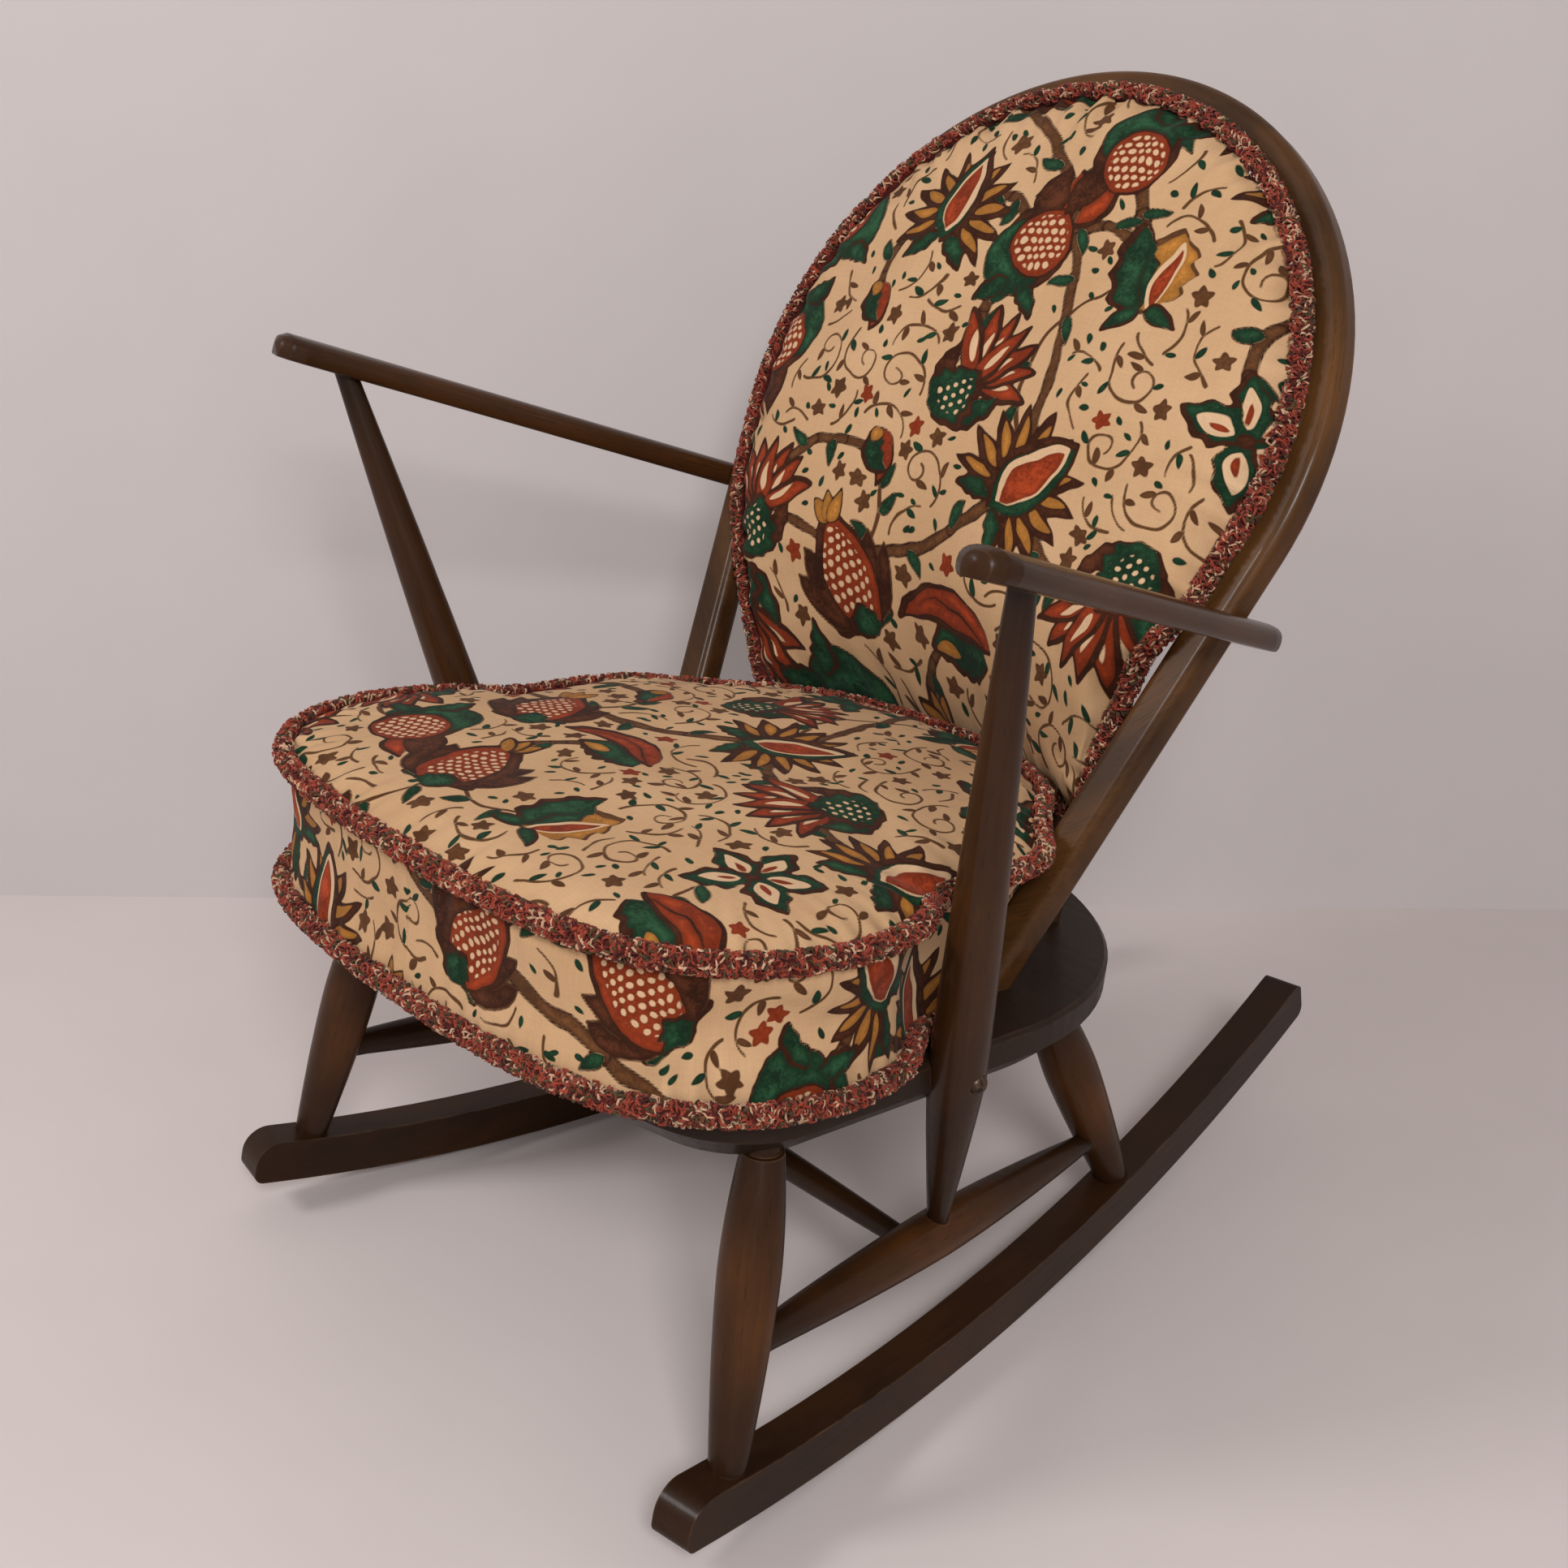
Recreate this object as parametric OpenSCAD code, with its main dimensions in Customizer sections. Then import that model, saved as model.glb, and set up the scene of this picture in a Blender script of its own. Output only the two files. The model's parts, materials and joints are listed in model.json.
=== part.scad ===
// Hoop-back rocking chair with a loose seat cushion and a loose back cushion.
// Millimetres. +Z is up, the chair faces -Y and the sitter's left is +X.
// The construction is laid out from the centre of the seat's round rear half (y = 0), with the
// floor at z = 0, and then moved so that the origin lies under the middle of the whole chair.

/* [Rockers] */
// Radius of the curve that runs on the floor
rocker_radius = 1480; // [1300:10:1700]
// Height of a rocker, from the floor curve to its top curve
rocker_height = 34; // [28:1:42]
// Thickness of a rocker
rocker_thickness = 30; // [27:1:36]
// How far the rockers reach in front of the floor contact
rocker_front_reach = 304; // [290:2:330]
// How far the rockers reach behind the floor contact
rocker_rear_reach = 480; // [440:2:510]
// How far the floor contact lies in front of the centre of the seat
contact_lead = 8; // [0:1:14]
// How far the middle of a rocker lies inside the seat's side edge, at the floor contact
rocker_inset = 28; // [16:1:40]
// Angle by which each rocker turns in towards the back
rocker_toe_in = 8.5; // [6:0.5:10]
// Radius of the rocker's front nose
rocker_nose_r = 20; // [10:1:24]
// Radius of the rocker's other end corners
rocker_corner_r = 8; // [4:1:12]

/* [Legs] */
// Distance from the centre of the seat forward to the foot of a front leg
front_foot_reach = 258; // [240:2:270]
// Distance from the centre of the seat back to the foot of a rear leg
rear_foot_reach = 193; // [175:2:215]
// Distance from the centre of the seat forward to the top of a front leg
front_top_reach = 206; // [190:2:220]
// Distance from the centre of the seat back to the top of a rear leg
rear_top_reach = 109; // [95:2:125]
// How far the top of a front leg lies inside the seat's side edge
front_top_inset = 23; // [19:1:40]
// How far the top of a rear leg lies inside the seat's side edge
rear_top_inset = 71; // [59:1:86]
// Diameter of a leg where it stands on the rocker
leg_foot_d = 24.5; // [22.5:0.5:27]
// Diameter of a leg at its fullest
leg_belly_d = 40; // [36:0.5:46]
// Diameter of a leg under the seat
leg_top_d = 27.5; // [25:0.5:33]
// Diameter of the tenon that goes into the rocker
leg_foot_tenon_d = 18; // [14:0.5:20]
// Diameter of the tenon that goes into the seat
leg_top_tenon_d = 22; // [18:0.5:23]
// Length of the tenon in the rocker
leg_foot_tenon = 22; // [16:1:26]
// Length of the tenon in the seat
leg_top_tenon = 24; // [16:1:28]

/* [Stretchers] */
// Diameter of a side stretcher in its middle
side_belly_d = 35; // [30:0.5:38]
// Diameter of a side stretcher at the front leg
side_front_d = 20; // [16:0.5:22]
// Diameter of a side stretcher at the rear leg
side_rear_d = 15.5; // [13:0.5:18]
// Diameter of the cross stretcher in its middle
cross_belly_d = 22; // [19:0.5:26]
// Diameter of the cross stretcher at its ends
cross_end_d = 15; // [12:0.5:17]

/* [Seat] */
// Height of the seat's underside above the floor, at the centre of the seat
seat_height = 233.5; // [220:1:250]
// Backward tilt of the seat
seat_tilt = 5.1; // [3:0.1:8]
// Thickness of the seat board
seat_thickness = 36; // [32:1:42]
// Radius of the round rear half of the seat, and half its width
seat_radius = 241; // [237:1:249]
// How far the seat reaches in front of its round centre
seat_front_reach = 285; // [270:1:300]
// Radius of the seat's front corners
seat_corner_r = 75; // [55:1:90]
// Size of the bevel under the seat's edge
seat_bevel = 16; // [10:1:18]
// Size of the chamfer on the seat's top edge
seat_top_chamfer = 3; // [1:0.5:5]
// Depth of the two saddle hollows in the seat's top
saddle_depth = 5; // [3:0.5:7]

/* [Hoop and sticks] */
// Backward lean of the hoop from upright
hoop_lean = 28.9; // [24:0.1:32]
// Where the hoop's feet enter the seat, behind its centre
hoop_foot_y = 36; // [28:1:46]
// Height of the arch's centre above the seat, along the hoop
hoop_rise = 380; // [355:1:400]
// Radius of the arch's centre line
hoop_radius = 246; // [240:1:252]
// Angle by which the arch wraps round below its centre
hoop_wrap = 11.2; // [10.6:0.1:11.6]
// Width of the hoop's section, seen from the front
hoop_width = 28.8; // [25:0.1:30]
// Depth of the hoop's section, from front to back
hoop_depth = 24.5; // [22:0.1:27]
// Radius of the edges of the hoop's section
hoop_edge_r = 7; // [4:0.5:9]
// Diameter of the round tenon at each foot of the hoop
hoop_tenon_d = 20; // [16:0.5:22]
// Length of the tenon at each foot of the hoop
hoop_tenon = 24; // [16:1:28]
// Radius of the row of sticks where it stands on the seat
stick_row_r = 205; // [200:1:212]
// Angle between two sticks on the seat
stick_foot_pitch = 12.6; // [10:0.1:13]
// Angle between two sticks on the arch
stick_top_pitch = 12.5; // [10:0.1:14]
// Diameter of a stick at its fullest
stick_belly_d = 13; // [11:0.5:14]
// Diameter of a stick at its ends
stick_end_d = 9; // [7:0.5:10]
// Length of a stick's end in the seat
stick_foot_depth = 18; // [12:1:22]
// Length of a stick's end in the hoop
stick_top_depth = 9; // [6:1:10]

/* [Arms] */
// Height of the underside of an arm's front tip
arm_tip_height = 638; // [620:1:650]
// How far the arm's front tip reaches in front of the seat's centre
arm_tip_reach = 193; // [185:1:205]
// Height of the underside of an arm where it crosses the hoop
arm_hoop_height = 503; // [490:1:515]
// Length of the arm behind the hoop
arm_tail = 42; // [32:1:52]
// Width of the arm at its widest
arm_front_w = 35; // [32:0.5:42]
// Width of the arm at its rear end
arm_rear_w = 26; // [24:0.5:30]
// Thickness of the arm
arm_thickness = 17.5; // [16.5:0.5:22]
// Depth of the notch that fits the arm to the hoop
arm_notch = 2.6; // [2:0.1:3.6]

/* [Arm posts] */
// Distance from the arm's tip to the post, along the arm
post_back = 58; // [50:1:66]
// How far the middle of a post stands outside the seat's edge
post_stand_off = 5; // [4:0.5:9]
// Diameter of a post at its fullest, beside the seat
post_belly_d = 38; // [35:0.5:40]
// Diameter of a post where it enters the side stretcher
post_foot_d = 15.5; // [14:0.5:18]
// Diameter of a post under the arm
post_top_d = 16; // [14:0.5:20]
// Diameter of the tenon that goes into the arm
post_tenon_d = 11; // [9:0.5:12]
// Length of the tenon that goes into the arm
post_tenon = 12; // [9:0.5:13]

/* [Screws] */
// Diameter of the button head that shows on a post
bolt_head_d = 14; // [11:0.5:16]
// How far the button head stands out of the post
bolt_head_rise = 4.5; // [3:0.5:6]
// Diameter of the bolt's shank
bolt_d = 6; // [5:0.5:7]
// Length of the bolt inside the seat
bolt_grip = 34; // [24:1:40]
// Diameter of an arm screw's shank
screw_d = 4.5; // [3.5:0.5:5.5]
// Diameter of an arm screw's head
screw_head_d = 9; // [7:0.5:10]
// Length of an arm screw inside the arm
screw_grip = 12; // [8:1:15]

/* [Seat cushion] */
// Room between a post's fullest place and the seat cushion's seam beside it
pad_post_gap = 7.3; // [6:0.1:12]
// How far the seat cushion's seam reaches in front of the seat's centre
pad_front_reach = 325; // [310:1:332]
// How far the seat cushion's seam reaches behind the seat's centre
pad_rear_reach = 160; // [150:1:163]
// Height from the seat cushion's bottom seam to its top seam
pad_wall = 96; // [85:1:100]
// Height of the bottom seam above the seat
pad_seam_h = 11; // [10:0.5:14]
// How much the crown rises above the top seam
pad_crown = 24; // [16:1:28]
// How far the boxed sides are drawn in between the seams
pad_draw_in = 4; // [2:0.5:6]

/* [Back cushion] */
// Radius of the back cushion's round top seam
back_radius = 234; // [230:1:238]
// Distance of the back cushion's seam in front of the middle of the hoop
back_rest = 21; // [20.8:0.1:24]
// Height of the lowest seam above the hoop's foot, along the hoop
back_bottom = 148; // [140:1:160]
// How much the front of the back cushion swells
back_crown = 36; // [26:1:42]
// How much the rear of the back cushion swells
back_rear_crown = 26; // [16:1:32]
// How far the lower side seams go back between the hoop's legs
back_tuck = 50; // [40:1:54]
// How far the lower middle sinks back towards the sticks
back_sag = 76; // [60:1:80]

/* [Fringe] */
// Radius of the bushy fringe that follows a seam
fringe_r = 8; // [6:0.5:8.5]
// How far the fringe's middle stands outside the seam
fringe_out = 3; // [2:0.5:4]

/* [Hidden] */

// Colours of the materials
wood_colour = [0.27, 0.17, 0.10];
hoop_colour = [0.42, 0.28, 0.16];
metal_colour = [0.20, 0.16, 0.12];
cloth_colour = [0.88, 0.70, 0.50];
fringe_colour = [0.60, 0.24, 0.15];

// Clearance of a tenon in its socket, on the radius
fit_gap = 0.05;
// Clearance at a tenon's end
end_gap = 1;
// Clearance between loose soft pieces and what they lie on
rest_gap = 0.3;
// Overrun of every cut
over = 1;
// How far a socket's bore runs on outside the surface that it enters
socket_room = 8;
// Room that half-space cuts span
reach = 900;
// Facets of a small and of a large round
round_fn = 64;
large_fn = 720;
// Share of a leg's length, from its foot, at which it is fullest
leg_belly_share = 0.62;
// Shares of a leg's length at which the stretcher enters it
front_stretch_share = 0.375;
rear_stretch_share = 0.238;
// Shares of a side stretcher's length at which the post and the cross stretcher enter it
post_share = 0.495;
cross_share = 0.435;
// Share of a side stretcher's length at which it is fullest
side_belly_share = 0.5;
// Roundness of the swell below and above the fullest place
leg_swell = [1.5, 1.8];
stretcher_swell = [1.6, 1.6];
post_swell = [1.2, 1.45];
// Length of a turned piece that stays straight, as a share of the radius it stands in
socket_share = 1.25;
// How far a tenon laps into its own piece, or passes the middle of the piece that it enters, as a
// share of that end's diameter
lap_share = 1 / 3;
// Share of a stick's length at which it is fullest
stick_belly_share = 0.4;
// Number of sticks, each with its own node
stick_count = 7;
middle_stick = (stick_count - 1) / 2;
// Points in half a turned outline
turn_steps = 12;
// Points round a cushion
pad_steps = 88;

// Front and rear of the whole chair, and the middle between them
chair_front_reach = -pad_front_reach - fringe_out - fringe_r;
chair_front = chair_front_reach * cos(seat_tilt) + (seat_thickness + pad_seam_h) * sin(seat_tilt);
rear_angle = asin(rocker_rear_reach / cos(rocker_toe_in) / rocker_radius);
rear_corner_path = rocker_radius - rocker_corner_r;
rear_corner_angle = rear_angle - asin(rocker_corner_r / rear_corner_path);
rear_corner = rear_corner_path * sin(rear_corner_angle) + rocker_corner_r;
chair_rear = rear_corner * cos(rocker_toe_in) + rocker_thickness / 2 * sin(rocker_toe_in) - contact_lead;
chair_mid = (chair_front + chair_rear) / 2;

// Straight helpers: a point on a line, and an ease between two values
function mix(a, b, t) = a + (b - a) * t;
function ease(a, b, t) = mix(a, b, (1 - cos(180 * t)) / 2);
function bulge(a, b, t, power) = mix(a, b, 1 - pow(1 - t, power));
function unit(v) = v / norm(v);

// Places on the rockers and the seat
rocker_half_gap = seat_radius - rocker_inset;
function rocker_x(y) = rocker_half_gap - tan(rocker_toe_in) * (y + contact_lead);
function rocker_top_z(y) = rocker_radius
    - sqrt(pow(rocker_radius - rocker_height, 2) - pow((y + contact_lead) / cos(rocker_toe_in), 2));
function on_rocker(y) = [rocker_x(y), y, rocker_top_z(y)];
function under_seat(x, y) = [x, y, seat_height - tan(seat_tilt) * y];

// Turns a point of the seat's own frame into the chair's frame, and one of the hoop's frame
function from_seat(p) = [
    p[0],
    p[1] * cos(seat_tilt) + p[2] * sin(seat_tilt),
    seat_height - p[1] * sin(seat_tilt) + p[2] * cos(seat_tilt)
];
hoop_foot = [0, hoop_foot_y,
    seat_height + seat_thickness / cos(seat_tilt) - tan(seat_tilt) * hoop_foot_y];
function from_hoop(p) = hoop_foot + [
    p[0],
    p[1] * sin(hoop_lean) - p[2] * cos(hoop_lean),
    p[1] * cos(hoop_lean) + p[2] * sin(hoop_lean)
];

// Ends of the legs, and of the stretchers between them
front_foot = on_rocker(-front_foot_reach);
rear_foot = on_rocker(rear_foot_reach);
front_top = under_seat(seat_radius - front_top_inset, -front_top_reach);
rear_top = under_seat(seat_radius - rear_top_inset, rear_top_reach);
side_front = mix(front_foot, front_top, front_stretch_share);
side_rear = mix(rear_foot, rear_top, rear_stretch_share);
cross_end = mix(side_front, side_rear, cross_share);

// The hoop: its legs run straight from the seat to the arch, and a little way into it
leg_overlap = hoop_depth / 8;
hoop_leg_end = hoop_rise - hoop_radius * sin(hoop_wrap);
hoop_foot_x = hoop_radius * cos(hoop_wrap) - hoop_leg_end * tan(hoop_wrap);
function hoop_x(s) = hoop_foot_x + s * tan(hoop_wrap);

// The arm: a line from its tip, over the post, to the notch at the hoop and past it
arm_cross_s = (arm_hoop_height + arm_thickness / 2 - hoop_foot[2]) / cos(hoop_lean);
arm_cross = from_hoop([
    hoop_x(arm_cross_s) + hoop_width / 2 + arm_rear_w / 2 - arm_notch, arm_cross_s, 0
]) - [0, 0, arm_thickness / 2];
post_foot = mix(side_front, side_rear, post_share);
post_side_z = seat_height + (seat_bevel + seat_thickness) / 2 + seat_corner_r * tan(seat_tilt);
arm_slope = (arm_tip_height - arm_hoop_height) / (arm_cross[1] + arm_tip_reach);
post_top_y = post_back * cos(atan(arm_slope)) - arm_tip_reach;
post_top_z = arm_tip_height - (post_top_y + arm_tip_reach) * arm_slope;
post_top_x = mix(
    post_foot[0], seat_radius + post_stand_off,
    (post_top_z - post_foot[2]) / (post_side_z - post_foot[2])
);
post_top = [post_top_x, post_top_y, post_top_z];
post_seat_t = (post_side_z - post_foot[2]) / (post_top_z - post_foot[2]);
post_side = mix(post_foot, post_top, post_seat_t);
arm_yaw = atan((post_top[0] - arm_cross[0]) / (arm_cross[1] - post_top[1]));
arm_run = norm([post_top[0] - arm_cross[0], arm_cross[1] - post_top[1]]);
arm_pitch = atan((post_top[2] - arm_cross[2]) / arm_run);
arm_length = post_back + norm(arm_cross - post_top) + arm_tail;

// Places children() with its Z axis from a to b
module along(a, b) {
    v = b - a;
    translate(a) rotate([0, acos(v[2] / norm(v)), atan2(v[1], v[0])]) children();
}

// Mirrors a right-hand piece to the other side
module on_side(side) {
    if (side > 0) children();
    else mirror([1, 0, 0]) children();
}

// Moves the construction so that its origin is under the middle of the chair
module to_origin() {
    translate([0, -chair_mid, 0]) children();
}

module on_seat() {
    translate([0, 0, seat_height]) rotate([-seat_tilt, 0, 0]) children();
}

module on_hoop() {
    translate(hoop_foot) rotate([90 - hoop_lean, 0, 0]) children();
}

module on_rocker_plane() {
    translate([rocker_half_gap, -contact_lead, 0]) rotate([0, 0, rocker_toe_in]) children();
}

module on_arm() {
    translate(post_top) rotate([0, 0, arm_yaw]) rotate([-arm_pitch, 0, 0])
        translate([0, -post_back, 0]) children();
}

// A turned piece from a to b: its diameters at the ends and at its fullest place, how round
// its lower and its upper half swell, running on by lead past a and by tail past b
module turned(a, b, d_a, d_belly, d_b, belly_share, swell, lead, tail) {
    len = norm(b - a);
    lower = [for (i = [0:turn_steps]) let (t = i / turn_steps)
        [bulge(d_a, d_belly, t, swell[0]) / 2, len * belly_share * t]];
    upper = [for (i = [1:turn_steps]) let (t = i / turn_steps)
        [bulge(d_b, d_belly, 1 - t, swell[1]) / 2, len * mix(belly_share, 1, t)]];
    along(a, b) rotate_extrude($fn = round_fn) polygon(concat(
        [[0, -lead], [d_a / 2, -lead]], lower, upper, [[d_b / 2, len + tail], [0, len + tail]]
    ));
}

// A straight round pin from a point of the line a to b, back by depth and on by tip
module pin(a, b, d, depth, tip) {
    along(a, b) translate([0, 0, -depth]) cylinder(h = depth + tip, d = d, $fn = round_fn);
}

// Room above the top curve of a rocker, in which a leg may stand
module above_rocker() {
    on_rocker_plane() translate([0, 0, rocker_radius]) rotate([0, 90, 0])
        cylinder(h = reach, r = rocker_radius - rocker_height, center = true, $fn = large_fn);
}

// Room below and above the seat board
module below_seat() {
    on_seat() translate([-reach, -reach, -reach]) cube([2 * reach, 2 * reach, reach]);
}

module above_seat() {
    on_seat() translate([-reach, -reach, seat_thickness]) cube([2 * reach, 2 * reach, reach]);
}

// Takes a rounded corner off the end of a rocker: the corner lies on the curve of radius r_curve
module rocker_corner(r_curve, r_end, angle, side, outer) {
    r_mid = outer ? r_curve - r_end : r_curve + r_end;
    a_mid = angle - asin(r_end / r_mid);
    far = outer ? over : -over;
    a_over = atan(over / r_curve);
    function at(r, a) = [side * r * sin(a), rocker_radius - r * cos(a)];
    difference() {
        polygon([at(r_mid, a_mid), at(r_curve + far, a_mid), at(r_curve + far, angle + a_over),
            at(r_mid, angle + a_over)]);
        translate(at(r_mid, a_mid)) circle(r = r_end, $fn = round_fn);
    }
}

// Side outline of a rocker, in its own plane
module rocker_outline() {
    front_angle = asin(rocker_front_reach / cos(rocker_toe_in) / rocker_radius);
    inner_r = rocker_radius - rocker_height;
    wedge_r = rocker_radius * 2;
    difference() {
        intersection() {
            difference() {
                translate([0, rocker_radius]) circle(r = rocker_radius, $fn = large_fn);
                translate([0, rocker_radius]) circle(r = inner_r, $fn = large_fn);
            }
            polygon([
                [0, rocker_radius],
                [-wedge_r * sin(front_angle), rocker_radius - wedge_r * cos(front_angle)],
                [wedge_r * sin(rear_angle), rocker_radius - wedge_r * cos(rear_angle)]
            ]);
        }
        rocker_corner(inner_r, rocker_nose_r, front_angle, -1, false);
        rocker_corner(rocker_radius, rocker_corner_r, front_angle, -1, true);
        rocker_corner(inner_r, rocker_corner_r, rear_angle, 1, false);
        rocker_corner(rocker_radius, rocker_corner_r, rear_angle, 1, true);
    }
}

module rocker(side) {
    color(wood_colour) to_origin() on_side(side) difference() {
        on_rocker_plane() rotate([90, 0, 90])
            linear_extrude(height = rocker_thickness, center = true) rocker_outline();
        pin(front_foot, front_top, leg_foot_tenon_d + 2 * fit_gap, leg_foot_tenon + end_gap, socket_room);
        pin(rear_foot, rear_top, leg_foot_tenon_d + 2 * fit_gap, leg_foot_tenon + end_gap, socket_room);
    }
}

// The full turned shape of a leg, before its ends are shouldered
module leg_blank(foot, top) {
    turned(
        foot, top, leg_foot_d, leg_belly_d, leg_top_d, leg_belly_share, leg_swell,
        leg_foot_d / 2, leg_top_d / 2
    );
}

module leg(foot, top, stretcher_at, stretcher_to, stretcher_d, side) {
    color(wood_colour) to_origin() on_side(side) {
        difference() {
            intersection() {
                leg_blank(foot, top);
                above_rocker();
                below_seat();
            }
            pin(
                stretcher_at, stretcher_to, stretcher_d + 2 * fit_gap,
                stretcher_d * lap_share + end_gap, leg_belly_d
            );
        }
        pin(foot, top, leg_foot_tenon_d, leg_foot_tenon, leg_foot_d * lap_share);
        pin(top, foot, leg_top_tenon_d, leg_top_tenon, leg_top_d * lap_share);
    }
}

module front_leg(side) {
    leg(front_foot, front_top, side_front, side_rear, side_front_d, side);
}

module rear_leg(side) {
    leg(rear_foot, rear_top, side_rear, side_front, side_rear_d, side);
}

// The side stretcher runs straight for the leg's radius at both ends, where it sits in its sockets
side_socket = leg_belly_d / 2 * socket_share;
side_start = mix(side_front, side_rear, side_socket / norm(side_rear - side_front));
side_stop = mix(side_rear, side_front, side_socket / norm(side_rear - side_front));

module side_stretcher(side) {
    color(wood_colour) to_origin() on_side(side) difference() {
        turned(
            side_start, side_stop, side_front_d, side_belly_d, side_rear_d,
            side_belly_share, stretcher_swell,
            side_socket + side_front_d * lap_share, side_socket + side_rear_d * lap_share
        );
        pin(post_foot, post_top, post_foot_d + 2 * fit_gap, end_gap, side_belly_d);
        pin(cross_end, [0, cross_end[1], cross_end[2]], cross_end_d + 2 * fit_gap, end_gap, side_belly_d);
    }
}

module cross_stretcher() {
    half = cross_end[0] - side_belly_d / 2;
    color(wood_colour) to_origin() turned(
        [-half, cross_end[1], cross_end[2]], [half, cross_end[1], cross_end[2]],
        cross_end_d, cross_belly_d, cross_end_d, side_belly_share, stretcher_swell,
        side_belly_d / 2, side_belly_d / 2
    );
}

// How much the seat's front edge bows out between its corners, as a share of half its width
seat_bow_share = 1 / 12;
// Centre of a front corner of the seat, and the flat arc that joins the two front corners
seat_corner_x = seat_radius - seat_corner_r;
seat_corner_y = seat_front_reach - seat_radius * seat_bow_share - seat_corner_r;
seat_corner_ahead = seat_front_reach - seat_corner_y;
seat_front_fit = (pow(seat_corner_x, 2) + pow(seat_corner_ahead, 2) - pow(seat_corner_r, 2))
    / (2 * (seat_corner_ahead - seat_corner_r));

// Points of an arc round c, without its first point
function arc(c, r, from, to, steps) = [for (i = [1:steps]) let (a = mix(from, to, i / steps))
    c + r * [cos(a), sin(a)]];
// Outline of the seat, drawn in by inset, and a ring of it at height z
seat_front_centre = [0, seat_front_fit - seat_front_reach];
seat_corner = [seat_corner_x, -seat_corner_y];
seat_turn = atan2(seat_corner[1] - seat_front_centre[1], seat_corner[0]);
arc_steps = 8;
function seat_half(inset) = concat(
    [[0, inset - seat_front_reach]],
    arc(seat_front_centre, seat_front_fit - inset, -90, seat_turn, arc_steps),
    arc(seat_corner, seat_corner_r - inset, seat_turn, 0, arc_steps),
    [[seat_radius - inset, -seat_corner_y / 2], [seat_radius - inset, 0]],
    arc([0, 0], seat_radius - inset, 0, 90, 3 * arc_steps)
);
function seat_ring(z, inset) = [for (p = close_outline(seat_half(inset))) [p[0], p[1], z]];

// Place of a saddle hollow beside the seat's middle line, as a share of the corner radius
saddle_share = 1.1;

module seat() {
    hollow_r = (pow(seat_corner_r, 2) + pow(saddle_depth, 2)) / (2 * saddle_depth);
    hollow_z = seat_thickness + hollow_r - saddle_depth;
    color(wood_colour) to_origin() difference() {
        on_seat() difference() {
            skin(
                [
                    seat_ring(0, seat_bevel), seat_ring(seat_bevel, 0),
                    seat_ring(seat_thickness - seat_top_chamfer, 0),
                    seat_ring(seat_thickness, seat_top_chamfer)
                ],
                [0, 0, 0], [0, 0, seat_thickness]
            );
            for (side = [-1, 1])
                translate([side * seat_corner_r * saddle_share, -seat_corner_r, hollow_z])
                    sphere(r = hollow_r, $fn = large_fn / 4);
        }
        for (side = [-1, 1]) on_side(side) {
            pin(front_top, front_foot, leg_top_tenon_d + 2 * fit_gap, leg_top_tenon + end_gap, socket_room);
            pin(rear_top, rear_foot, leg_top_tenon_d + 2 * fit_gap, leg_top_tenon + end_gap, socket_room);
            on_hoop() pin(
                [hoop_foot_x, 0, 0], [hoop_x(hoop_rise), hoop_rise, 0],
                hoop_tenon_d + 2 * fit_gap, hoop_tenon + end_gap, hoop_tenon_d
            );
            post_blank(2 * fit_gap);
            bolt_hole();
        }
        for (i = [0:stick_count - 1])
            pin(
                stick_foot(i), stick_top(i), stick_end_d + 2 * fit_gap,
                stick_foot_depth + end_gap, stick_end_d
            );
    }
}

// Rounded section of the hoop, as wide as hoop_width and as deep as hoop_depth
module hoop_section(grow) {
    w = hoop_width / 2 + grow;
    d = hoop_depth / 2 + grow;
    square([2 * w - 2 * hoop_edge_r, 2 * d], center = true);
    square([2 * w, 2 * d - 2 * hoop_edge_r], center = true);
    for (x = [-1, 1], y = [-1, 1])
        translate([x * (w - hoop_edge_r), y * (d - hoop_edge_r)])
            circle(r = hoop_edge_r, $fn = round_fn / 2);
}

// A straight leg of the hoop, in the hoop's frame, running on below the seat and into the arch
module hoop_leg(grow, below, into) {
    foot = [hoop_foot_x, 0, 0];
    leg_length = hoop_leg_end / cos(hoop_wrap);
    translate(foot) rotate([0, 0, -hoop_wrap]) rotate([-90, 0, 0]) translate([0, 0, -below])
        linear_extrude(height = leg_length + below + into) hoop_section(grow);
}

module hoop_arch(grow) {
    translate([0, hoop_rise, 0]) rotate([0, 0, -hoop_wrap])
        rotate_extrude(angle = 180 + 2 * hoop_wrap, $fn = large_fn / 4)
            translate([hoop_radius, 0]) hoop_section(grow);
}

module hoop() {
    color(hoop_colour) to_origin() difference() {
        union() {
            intersection() {
                on_hoop() {
                    hoop_leg(-fit_gap, hoop_width, leg_overlap);
                    mirror([1, 0, 0]) hoop_leg(-fit_gap, hoop_width, leg_overlap);
                    hoop_arch(0);
                }
                above_seat();
            }
            for (side = [-1, 1]) on_side(side) on_hoop() pin(
                [hoop_foot_x, 0, 0], [hoop_x(hoop_rise), hoop_rise, 0],
                hoop_tenon_d, hoop_tenon, hoop_width
            );
        }
        for (i = [0:stick_count - 1])
            pin(stick_top(i), stick_foot(i), stick_end_d + 2 * fit_gap, end_gap, hoop_width);
        for (side = [-1, 1]) on_side(side) on_hoop() screw_shape(fit_gap);
    }
}

// Foot of a stick on the seat, and its end inside the arch
function stick_foot(i) = let (a = (i - middle_stick) * stick_foot_pitch)
    from_seat([stick_row_r * sin(a), stick_row_r * cos(a), seat_thickness]);
stick_end_r = hoop_radius - hoop_width / 2 + stick_top_depth;
function stick_top(i) = let (a = (i - middle_stick) * stick_top_pitch)
    from_hoop([stick_end_r * sin(a), hoop_rise + stick_end_r * cos(a), 0]);

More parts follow.
